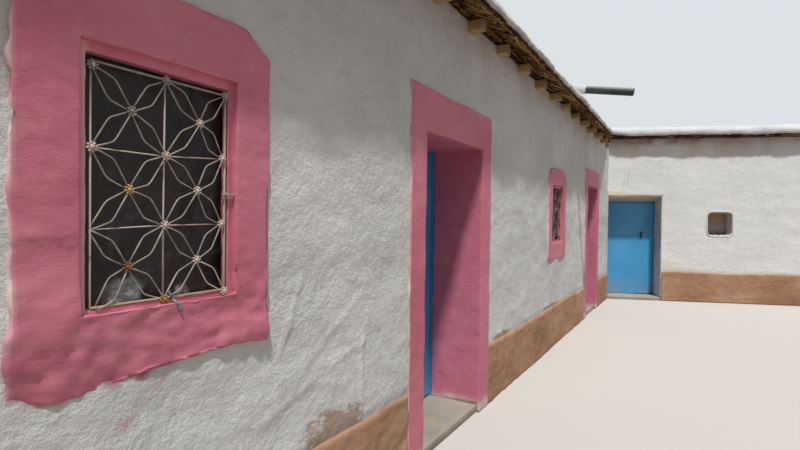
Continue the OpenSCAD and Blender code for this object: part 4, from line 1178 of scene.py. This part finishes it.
def beams():
    for name, node, run, material in (("poles_long_wing", "long_wing_beams", Y, POLE_LONG),
                                      ("poles_short_wing", "wing_beams", INTO, POLE_WING)):
        dice = random.Random(5)
        bm = bmesh.new()
        bm.verts.layers.float.new("sawn")
        for start, end in beam_lines(node, run):
            shift = 0.0
            if name == "poles_long_wing":
                # Where the eaves narrow, the last pole is sawn off short enough to stay under them
                cover = REACH[0] * along_path(start.x - CORNER.x, NARROWING) - 0.035
                shift = min(dice.uniform(-0.018, 0.022), cover - (CORNER.y - start.y))
            add_pole(bm, dice, start - run * shift, end, POLE_WIDE * dice.uniform(0.9, 1.04), POLE_HIGH)
        finish_piece(bm, name, material, hides=(node,))


beams()


# Painted plaster round the doors and windows
PLASTER_LAYERS = [(0.45, 0.005), (0.16, 0.004), (0.06, 0.002), (0.028, 0.001)]


def surround(name, node, material, round_by, step, axes, edge_wander=0.0, foot=None, rougher=0.0, marks=None):
    """A surround with rounded arrises, an uneven face and a wandering outline."""
    bm = from_node(node)
    soften(bm, round_by, 0.1, 3)
    slice_up(bm, step, *axes)
    for key, amount in (marks or {}).items():
        mark(bm, key, amount)
    low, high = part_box(node)
    bm.normal_update()
    for v in bm.verts:
        coarse = 1 + rougher * (1 - ease(v.co.z, 1.18, 1.42))
        push = v.normal * lumps(v.co, PLASTER_LAYERS) * coarse
        if edge_wander:
            wide = min(abs(v.co.x - low.x), abs(v.co.x - high.x), abs(v.co.z - low.z), abs(v.co.z - high.z))
            push += Vector((v.normal.x, 0, v.normal.z)) * (1 - ease(wide, 0.0, 0.05)) * lumps(
                v.co + Vector((9, 0, 4)), [(0.3, edge_wander), (0.09, edge_wander * 0.6), (0.03, edge_wander * 0.3)])
        if foot:
            x = v.co.x - CORNER.x
            push.z += (along_path(x, foot) - low.z) * (1 - ease(v.co.z, low.z, low.z + 0.1))
            # The plaster thins out to bare paint at the left of its foot
            push.y += (max(0.0, -0.009 - (v.co.y - CORNER.y)) * (1 - ease(x, -9.75, -9.5))
                       * (1 - ease(v.co.z, 1.05, 1.2)))
        v.co += push
        v.co.z = max(v.co.z, 0.0)
    finish_piece(bm, name, material, hides=(node,))


def left_edge(node):
    """Painted highlight along the left edge of a painted band, where its side faces the light."""
    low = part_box(node)[0].x - CORNER.x
    return lambda p: (1 - ease(p.x - low, 0.0005, 0.003)) * (0.6 + lumps(p, [(0.12, 0.9)]))


def door_foot(p):
    """Cement smeared on the foot of a painted doorway."""
    return 0.8 * (1 - ease(p.z + lumps(p, [(0.1, 0.02)]), 0.07, 0.1))


WINDOW_CRACKS = [[(-9.92, 1.442), (-9.86, 1.458), (-9.81, 1.455), (-9.77, 1.461)],
                 [(-9.82, 1.44), (-9.79, 1.43), (-9.77, 1.433)]]
# On the first window's band the crack mark draws its cracks along their lines, and over the rough lower left it
# paints shade in patches
surround("window_1_plaster", "window_1_surround", ROSE, 0.009, 0.013, (X, UP), 0.016, FOOT_LINE, 2.2, {
    "chalk": left_edge("window_1_surround"),
    "crack": lambda p: max(0.45 * max(1 - off_path(p.x, p.z, line) / 0.01 for line in WINDOW_CRACKS),
                           0.3 * (1 - ease(p.z, 1.12, 1.32)) * (1 - ease(p.x, -9.55, -9.2))
                           * (0.5 + lumps(p, [(0.05, 1.3)])))})
surround("window_2_plaster", "window_2_surround", ROSE, 0.009, 0.024, (X, UP), 0.014,
         marks={"chalk": left_edge("window_2_surround")})
surround("door_1_plaster", "door_1_surround", ROSE, 0.008, 0.03, (X, Y, UP), 0.007,
         marks={"chalk": left_edge("door_1_surround"), "cement": door_foot})
surround("door_3_plaster", "door_3_surround", ROSE, 0.008, 0.034, (X, Y, UP), 0.007,
         marks={"chalk": left_edge("door_3_surround"), "cement": door_foot})
surround("door_2_plaster", "door_2_surround", PLASTER, 0.008, 0.034, (ALONG, INTO, UP),
         marks={"cream": lambda p: 0.9 * ease(p.z, 1.9, 1.96) * (1 - ease(p.dot(ALONG), 0.82, 0.9))})


# Windows: painted casement, lattice of bent rods with cast rosettes, and its bolt
def rods(paths):
    """Round rods along the given (points, radius) paths, as one mesh."""
    curve = bpy.data.curves.new("rod_path", "CURVE")
    curve.dimensions = "3D"
    curve.bevel_depth = 1.0
    curve.bevel_resolution = 2
    curve.use_fill_caps = True
    for points, radius in paths:
        line = curve.splines.new("POLY")
        line.points.add(len(points) - 1)
        for spot, p in zip(line.points, points):
            spot.co = (p.x, p.y, p.z, 1)
            spot.radius = radius
    holder = bpy.data.objects.new("rod_path", curve)
    bpy.context.scene.collection.objects.link(holder)
    bpy.context.view_layer.update()
    mesh = bpy.data.meshes.new_from_object(holder.evaluated_get(bpy.context.evaluated_depsgraph_get()))
    bm = bmesh.new()
    bm.from_mesh(mesh)
    bpy.data.objects.remove(holder)
    bpy.data.meshes.remove(mesh)
    bpy.data.curves.remove(curve)
    bmesh.ops.remove_doubles(bm, verts=bm.verts[:], dist=0.00002)
    return bm


# Grid of the lattices
UNIT = 0.1148
# Places of the first window's crossings, by column and row, from its centre and from the ground
KNOTS = {(0, 0): (-0.229, 1.932), (2, 0): (-0.001, 1.941), (4, 0): (0.229, 1.942), (1, 1): (-0.115, 1.824),
         (3, 1): (0.123, 1.827), (0, 2): (-0.230, 1.705), (2, 2): (-0.003, 1.704), (4, 2): (0.218, 1.719),
         (1, 3): (-0.122, 1.592), (3, 3): (0.115, 1.601), (0, 4): (-0.236, 1.475), (2, 4): (-0.005, 1.486),
         (4, 4): (0.214, 1.489), (1, 5): (-0.125, 1.364), (3, 5): (0.113, 1.369), (0, 6): (-0.222, 1.247),
         (2, 6): (-0.005, 1.253), (4, 6): (0.229, 1.250)}
# Rosettes that aren't cream: gilt round 0.65, rusty at 1
CREAM = 0.35
GILT = {(1, 3): 0.62, (1, 5): 1.0, (2, 6): 0.8, (2, 0): 0.7}


def lattice_paths(knots, rows, centre_x, y, dice):
    """Petals between diagonal crossings, the straight bars and the border of a lattice."""
    paths = []
    spots = {key: inner(centre_x + x, y, z) for key, (x, z) in knots.items()}
    for (c, r), a in spots.items():
        for dc in (-1, 1):
            b = spots.get((c + dc, r + 1))
            if b is None:
                continue
            side = Vector((b.z - a.z, 0, a.x - b.x)).normalized()
            for way in (-1, 1):
                width = 0.0245 * way * dice.uniform(0.85, 1.12)
                bend = 0.5 + way * dc * dice.uniform(0.04, 0.14)
                line = []
                for t, w in ((0.03, 0.1), (bend * 0.5, 0.56), (bend * 0.88, 0.95), (bend, 1.0),
                             (bend + (1 - bend) * 0.12, 0.95), (bend + (1 - bend) * 0.5, 0.56), (0.97, 0.1)):
                    line.append(a.lerp(b, t) + side * width * w + Y * 0.0025 * way)
                paths.append((line, 0.0023))
    for row in range(2, rows, 2):
        paths.append(([spots[0, row] + Y * 0.006, spots[2, row] + Y * 0.006, spots[4, row] + Y * 0.006], 0.002))
    paths.append(([spots[2, row] + Y * 0.007 for row in range(0, rows + 1, 2)], 0.0028))
    if rows % 2:
        paths.append(([spots[2, rows - 1] + Y * 0.007, spots[2, rows - 1] + Y * 0.007 - UP * UNIT], 0.0028))
    return paths, spots


def rosettes(bm, spots, layer, tints):
    """Small cast rosette on each crossing: a dome in a ring of eight petals."""
    for key, centre in spots.items():
        count = len(bm.verts)
        centre = centre - Y * 0.005
        dome = bmesh.ops.create_uvsphere(bm, u_segments=10, v_segments=6, radius=0.0072)["verts"]
        bmesh.ops.scale(bm, vec=(1.0, 0.75, 1.0), verts=dome)
        bmesh.ops.translate(bm, vec=centre, verts=dome)
        for n in range(8):
            angle = n * math.pi / 4 + 0.2
            petal = bmesh.ops.create_uvsphere(bm, u_segments=6, v_segments=4, radius=1.0)["verts"]
            bmesh.ops.scale(bm, vec=(0.0062, 0.0042, 0.0036), verts=petal)
            bmesh.ops.rotate(bm, cent=(0, 0, 0), matrix=Matrix.Rotation(-angle, 3, "Y"), verts=petal)
            bmesh.ops.translate(bm, vec=centre + Vector((0.0112 * math.cos(angle), 0.002, 0.0112 * math.sin(angle))),
                                verts=petal)
        bm.verts.ensure_lookup_table()
        for v in bm.verts[count:]:
            v[layer] = tints.get(key, CREAM)


def bar(bm, low, high, bevel=0.0015):
    """A straight square bar with eased edges."""
    made = bmesh.ops.create_cube(bm, size=1.0)["verts"]
    bmesh.ops.scale(bm, vec=high - low, verts=made)
    bmesh.ops.translate(bm, vec=(low + high) / 2, verts=made)
    round_edges(bm, list({e for v in made for e in v.link_edges}), bevel, 2)


# Half the width of the dark opening in a casement
HALF_OPEN = 0.245


def casement(n, at, sill, tall, set_back, low, high):
    """Painted frame in one piece round the dark opening."""
    bm = bmesh.new()
    bmesh.ops.create_grid(bm, x_segments=1, y_segments=1, size=0.5)
    for v in bm.verts:
        v.co = inner(-at + v.co.x * 0.58, set_back - 0.009, sill - 0.02 + (tall + 0.04) * (v.co.y + 0.5))
    for spot, facing in ((inner(-at - HALF_OPEN, 0), X), (inner(-at + HALF_OPEN, 0), X), (UP * low, UP),
                         (UP * high, UP)):
        cut(bm, spot, facing, 0.0004)
    middle = [f for f in bm.faces if abs(f.calc_center_median().x - CORNER.x + at) < 0.2
              and low < f.calc_center_median().z < high]
    bmesh.ops.delete(bm, geom=middle, context="FACES")
    thick = bmesh.ops.extrude_face_region(bm, geom=bm.faces[:])["geom"]
    bmesh.ops.translate(bm, vec=Y * 0.034, verts=[g for g in thick if isinstance(g, bmesh.types.BMVert)])
    bmesh.ops.recalc_face_normals(bm, faces=bm.faces[:])
    whole_faces(bm)
    soften(bm, 0.003, 0.1, 2)
    slice_up(bm, 0.02, X, UP)
    bm.normal_update()
    for v in bm.verts:
        v.co += v.normal * lumps(v.co, [(0.2, 0.003), (0.05, 0.0015)])
    edge = -at - HALF_OPEN
    # Painted highlight along the left edge of the opening
    mark(bm, "chalk", lambda p: 0.6 * (1 - ease(abs(p.x - edge), 0.003, 0.012)))
    finish_piece(bm, f"window_{n}_casement", ROSE)


def window_fittings(n):
    """Lattice with its rosettes and border, and the casement behind it."""
    at, sill, tall, set_back, low, high = WINDOWS[n]
    dice = random.Random(10 + n)
    y = set_back - 0.010
    rows = 6
    knots = KNOTS
    if n == 2:
        rows = 5
        top = (low + high) / 2 + 2.5 * UNIT
        knots = {(c, r): ((c - 2) * UNIT + dice.uniform(-0.005, 0.005), top - r * UNIT + dice.uniform(-0.004, 0.004))
                 for r in range(rows + 1) for c in range(5) if (c + r) % 2 == 0}
    paths, spots = lattice_paths(knots, rows, -at, y, dice)
    lattice = rods(paths)
    cast = lattice.verts.layers.float.new("cast")
    if n == 1:
        spots = {key: spot for key, spot in spots.items() if key not in ((0, 4), (0, 6))}
    rosettes(lattice, spots, cast, GILT if n == 1 else {(1, 1): 0.62, (3, 3): 1.0})
    left, right = -at - 0.2335, -at + 0.2335
    foot, head = low + 0.002, high - 0.02
    for a, b in (((left, foot), (left + 0.003, head)), ((right - 0.006, foot), (right, head)),
                 ((left, foot), (right, foot + 0.006)), ((left, head - 0.006), (right, head))):
        bar(lattice, inner(a[0], y - 0.002, a[1]), inner(b[0], y + 0.006, b[1]))
    # The bolt of the first casement, and its staple
    if n == 1:
        bar(lattice, inner(-9.279, y - 0.012, 1.589), inner(-9.226, y - 0.003, 1.598))
        bar(lattice, inner(-9.262, y - 0.016, 1.586), inner(-9.256, y + 0.004, 1.601))
    # The first window's lowest bar has gilt on it
    for v in lattice.verts:
        if n == 1 and abs(v.co.z - foot - 0.003) < 0.0035 and v[cast] == 0:
            v[cast] = 0.55
    finish_piece(lattice, f"window_{n}_lattice", SILVERED if n == 1 else RUSTY, hides=(f"window_{n}_grille",))
    casement(n, at, sill, tall, set_back, low, high)


window_fittings(1)
window_fittings(2)


# Scrap of strap knotted on the first window's lattice
def strap():
    """Flat strip that hangs down from the knot, standing off the sill below it."""
    bm = bmesh.new()
    bmesh.ops.create_grid(bm, x_segments=2, y_segments=16, size=0.5)
    route = [(0.0, (-9.487, 1.281)), (0.45, (-9.469, 1.247)), (1.0, (-9.447, 1.208))]
    across = Vector((0.8, 0, 0.35)).normalized() * 0.008
    for v in bm.verts:
        t = v.co.y + 0.5
        x = along_path(t, [(a, p[0]) for a, p in route])
        z = along_path(t, [(a, p[1]) for a, p in route])
        v.co = inner(x, -0.013 - 0.016 * ease(t, 0.35, 0.6) + 0.002 * math.sin(t * 20), z) + across * v.co.x
    bmesh.ops.solidify(bm, geom=bm.faces[:], thickness=0.0014)
    bmesh.ops.recalc_face_normals(bm, faces=bm.faces[:])
    finish_piece(bm, "window_1_strap", STRAP)


strap()


def hung_sheet(n):
    at, sill, height, set_back, *rest = WINDOWS[n]
    width, tall = 0.56, height + 0.02
    bm = bmesh.new()
    bmesh.ops.create_grid(bm, x_segments=90, y_segments=120, size=0.5)
    for v in bm.verts:
        x, z = -at + v.co.x * width, sill + height / 2 + v.co.y * tall
        fold = (0.011 * noise.noise(Vector((x, z * 0.45, n * 3.0)) / 0.07)
                + 0.008 * noise.noise(Vector((x, z, n)) / 0.1))
        crease = 0.006 * abs(noise.noise(Vector((x, z, 2.0 + n)) / 0.04))
        v.co = inner(x, set_back + 0.04 + fold - crease, z)
    face_out(bm, -Y)
    spots = [(-9.6, 1.275, 0.075, 0.06), (-9.4, 1.27, 0.03, 0.025)] if n == 1 else [(-4.3, 1.32, 0.08, 0.05)]
    mark(bm, "dust", lambda p: blob(p.x, p.z, spots) + lumps(p, [(0.05, 0.5)]))
    piece = finish_piece(bm, f"window_{n}_hung_sheet", SHEET, hides=(f"window_{n}_sheet",))


hung_sheet(1)
hung_sheet(2)


# Doors
def door_parts(n, axis, deep):
    """Steel leaf, dented and a little sunk in its frame, and the frame."""
    bm = from_node(f"door_{n}_leaf")
    soften(bm, 0.003, 0.2, 2)
    slice_up(bm, 0.07, axis, UP)
    low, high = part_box(f"door_{n}_leaf")
    middle = (low + high) / 2
    bm.normal_update()
    for v in bm.verts:
        if v.normal.dot(-deep) > 0.9 and v.co.z > low.z + 0.01:
            v.co += deep * (0.0025 + lumps(v.co, [(0.5, 0.004), (0.18, 0.0015)]))
        # The foot of the sheet is bent up towards both corners
        if v.co.z < low.z + 0.02:
            v.co.z += 0.05 * (v.co - middle).dot(axis) ** 2
    finish_piece(bm, f"door_{n}_steel_leaf", ENAMEL, f"door_{n}", smooth=False, hides=(f"door_{n}_leaf",))
    bm = from_node(f"door_{n}_frame")
    soften(bm, 0.003, 0.2, 2)
    finish_piece(bm, f"door_{n}_steel_frame", ENAMEL, smooth=False, hides=(f"door_{n}_frame",))


# Each door's way across and way in, and its leaf's closing edge on the face
DOORS = {1: (X, Y, inner(-7.25 + 0.4565, 0)), 2: (ALONG, INTO, wing(0.4975 + 0.4565, 0)),
         3: (X, Y, inner(-1.785 + 0.4165, 0))}
for n, (across, deep, edge) in DOORS.items():
    door_parts(n, across, deep)


# Lock plate, turned knob and keyhole cover on each leaf
def lock_set(n, centre, side, deep):
    bm = bmesh.new()
    bar(bm, Vector((-0.017, -0.003, -0.062)), Vector((0.017, 0.003, 0.062)), 0.002)
    bmesh.ops.create_cone(bm, cap_ends=True, segments=16, radius1=0.007, radius2=0.006, depth=0.03,
                          matrix=Matrix.Translation((0, -0.015, 0.035)) @ Matrix.Rotation(math.pi / 2, 4, "X"))
    grip = bmesh.ops.create_uvsphere(bm, u_segments=16, v_segments=10, radius=0.015)["verts"]
    bmesh.ops.scale(bm, vec=(1.0, 0.62, 1.0), verts=grip)
    bmesh.ops.translate(bm, vec=(0, -0.034, 0.035), verts=grip)
    bmesh.ops.create_cone(bm, cap_ends=True, segments=16, radius1=0.009, radius2=0.008, depth=0.004,
                          matrix=Matrix.Translation((0, -0.005, -0.045)) @ Matrix.Rotation(math.pi / 2, 4, "X"))
    turn = Matrix((side, deep, UP)).transposed()
    for v in bm.verts:
        v.co = centre + turn @ v.co
    bmesh.ops.recalc_face_normals(bm, faces=bm.faces[:])
    finish_piece(bm, f"door_{n}_lock", LOCK, f"door_{n}", smooth=False)


# The lock's place from the closing edge, its depth in the doorway and its height
LOCK_IN, LOCK_DEEP, LOCK_HIGH = 0.225, 0.394, 1.238
for n, (across, deep, edge) in DOORS.items():
    lock_set(n, edge - across * LOCK_IN + deep * LOCK_DEEP + UP * LOCK_HIGH, across, deep)


# Vent: raised rim of lime plaster, bare mud inside, and crumbs on its sill
def round_vent(name, material, rows, profile):
    """Skin that runs round the vent's opening; profile gives its distance from the edge and its depth."""
    at, width, low, high = VENT
    half_w, half_h, r = width / 2, (high - low) / 2, 0.08
    points = []
    for cx, cz, start in ((half_w - r, half_h - r, 0), (-half_w + r, half_h - r, 90),
                          (-half_w + r, -half_h + r, 180), (half_w - r, -half_h + r, 270)):
        for step in range(0, 91, 15):
            angle = math.radians(start + step)
            points.append(Vector((cx + r * math.cos(angle), cz + r * math.sin(angle))))
    bm = bmesh.new()
    bmesh.ops.create_grid(bm, x_segments=len(points) * 4, y_segments=rows, size=0.5)
    for v in bm.verts:
        t = (v.co.x + 0.5) * len(points)
        here, ahead = points[int(t) % len(points)], points[(int(t) + 1) % len(points)]
        run = (ahead - here).normalized()
        out, depth = profile(v.co.y + 0.5)
        spot = here.lerp(ahead, t - int(t)) + Vector((run.y, -run.x)) * out
        depth += lumps(wing(at + spot.x, 0, spot.y), [(0.12, 0.004), (0.04, 0.003)])
        v.co = wing(at + spot.x, depth, (low + high) / 2 + spot.y)
    bmesh.ops.remove_doubles(bm, verts=bm.verts[:], dist=0.0004)
    face_out(bm, -INTO)
    finish_piece(bm, name, material)


def rim_profile(share):
    """Distance from the opening's edge and depth, over the bead and down to the wall."""
    angle = share * math.pi * 1.25 - math.pi * 0.25
    return (0.014 - 0.017 * math.cos(max(angle, 0.0)),
            -0.006 - 0.016 * math.sin(max(angle, 0.0)) - 0.06 * min(angle, 0.0))


round_vent("vent_rim", WASH_RIDGE, 10, rim_profile)
round_vent("vent_lining", PLASTER, 8, lambda share: (-0.004 - 0.008 * share, 0.005 + 0.19 * share))


def vent_crumbs():
    """Crumbs of lime and mud on the vent's sill."""
    dice = random.Random(3)
    bm = bmesh.new()
    for n in range(22):
        size = dice.uniform(0.007, 0.02)
        crumb = bmesh.ops.create_icosphere(bm, subdivisions=2, radius=size)["verts"]
        spot = wing(VENT[0] + dice.uniform(-0.15, 0.15), dice.uniform(0.03, 0.19), VENT[2] + size * 0.45)
        for v in crumb:
            v.co *= 1 + 0.5 * noise.noise(v.co / size * 0.9 + Vector((n * 3.0, 0, 0)))
            v.co.z *= 0.6
            v.co += spot
    finish_piece(bm, "vent_crumbs", WASH_RIDGE, smooth=False)


vent_crumbs()


# Mortar round the spout, thick in the coping and thin out along the pipe, with the pipe's hole left as it is
PIPE_CLEAR = 0.06


def collar():
    bm = from_node("spout_collar")
    slice_up(bm, 0.02, Y)
    fall = math.radians(9.5)
    axis = Vector((0, -math.cos(fall), -math.sin(fall)))
    root = inner(-3.5, 0, 3.27)
    for v in bm.verts:
        along = (v.co - root).dot(axis)
        core = root + axis * along
        away = v.co - core
        if away.length > PIPE_CLEAR:
            radius = 0.074 - 0.019 * ease(along, -0.02, 0.16)
            away = away.normalized() * (radius + lumps(v.co, [(0.1, 0.006), (0.04, 0.003)]))
        v.co = core + away
    finish_piece(bm, "spout_mortar", WASH_RIDGE, hides=("spout_collar",))


collar()


# Roof, floor and sills
def trodden(name, node, material, step, top, layers, sunk, rounded=0.0):
    """A node whose upper side, which is all that lies above top, is uneven and a little sunk."""
    bm = from_node(node)
    if rounded:
        soften(bm, rounded, 0.3, 2)
    slice_up(bm, step, X, Y)
    for v in bm.verts:
        if v.co.z > top:
            v.co.z += lumps(v.co, layers) - sunk
    finish_piece(bm, name, material, hides=(node,))


SCREED_LAYERS = [(0.7, 0.005), (0.2, 0.003), (0.06, 0.0015)]
trodden("roof_earth_bed", "earth_roof", ROOF_EARTH, 0.11, EARTH_TOP - 0.01, [(1.8, 0.02), (0.5, 0.012), (0.2, 0.008)],
        0.006)
trodden("trodden_floor", "floor", SCREED, 0.15, FLOOR - 0.012, SCREED_LAYERS, 0.001, 0.008)
trodden("worn_sills", "door_sills", SCREED, 0.06, FLOOR - 0.012, SCREED_LAYERS, 0.001, 0.008)

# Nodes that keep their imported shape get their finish
KEPT = {"corner_beam": POLE_WING, "roof_brushwood": REEDS, "spout_pipe": PIPE, "vent_board": CARD}
for node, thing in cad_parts.items():
    for slot in thing.material_slots:
        slot.material = KEPT.get(node, WASH_PLAIN)


# Studio: pale floor and surroundings, one broad lamp over the courtyard, a weaker one behind, even sky
def lamp(name, toward, energy, spread, colour):
    """A lamp far off in the direction toward, with the spread of its light in degrees."""
    data = bpy.data.lights.new(name, "SUN")
    data.energy = energy
    data.angle = math.radians(spread)
    data.color = colour
    holder = bpy.data.objects.new(name, data)
    holder.rotation_euler = Vector(toward).to_track_quat("Z", "Y").to_euler()
    bpy.context.scene.collection.objects.link(holder)


def studio():
    bm = bmesh.new()
    bmesh.ops.create_grid(bm, x_segments=1, y_segments=1, size=90)
    bmesh.ops.translate(bm, vec=(0, 0, -0.001), verts=bm.verts[:])
    mesh = bpy.data.meshes.new("studio_floor")
    bm.to_mesh(mesh)
    bm.free()
    mesh.materials.append(make_material("pale_floor", studio_floor))
    ground = bpy.data.objects.new("studio_floor", mesh)
    bpy.context.scene.collection.objects.link(ground)
    lamp("broad_lamp", toward=(-0.38, -0.235, 0.895), energy=3.2, spread=3, colour=(1.0, 0.99, 0.98))
    lamp("rear_lamp", toward=(0.6, 0.75, 0.25), energy=0.9, spread=30, colour=(0.97, 0.98, 1.0))
    world = bpy.data.worlds.new("even_sky")
    world.use_nodes = True
    bpy.context.scene.world = world
    tree = world.node_tree
    sky = tree.nodes["Background"]
    sky.inputs["Color"].default_value = (0.92, 0.96, 1.0, 1)
    sky.inputs["Strength"].default_value = 0.31
    backdrop = put(tree, "ShaderNodeBackground", {"Color": "#dde2e6", "Strength": 1.0})
    both = put(tree, "ShaderNodeMixShader", {0: looked_at(tree), 1: sky.outputs[0], 2: backdrop})
    tree.links.new(both, tree.nodes["World Output"].inputs["Surface"])
    bpy.context.scene.view_settings.view_transform = "Standard"


studio()
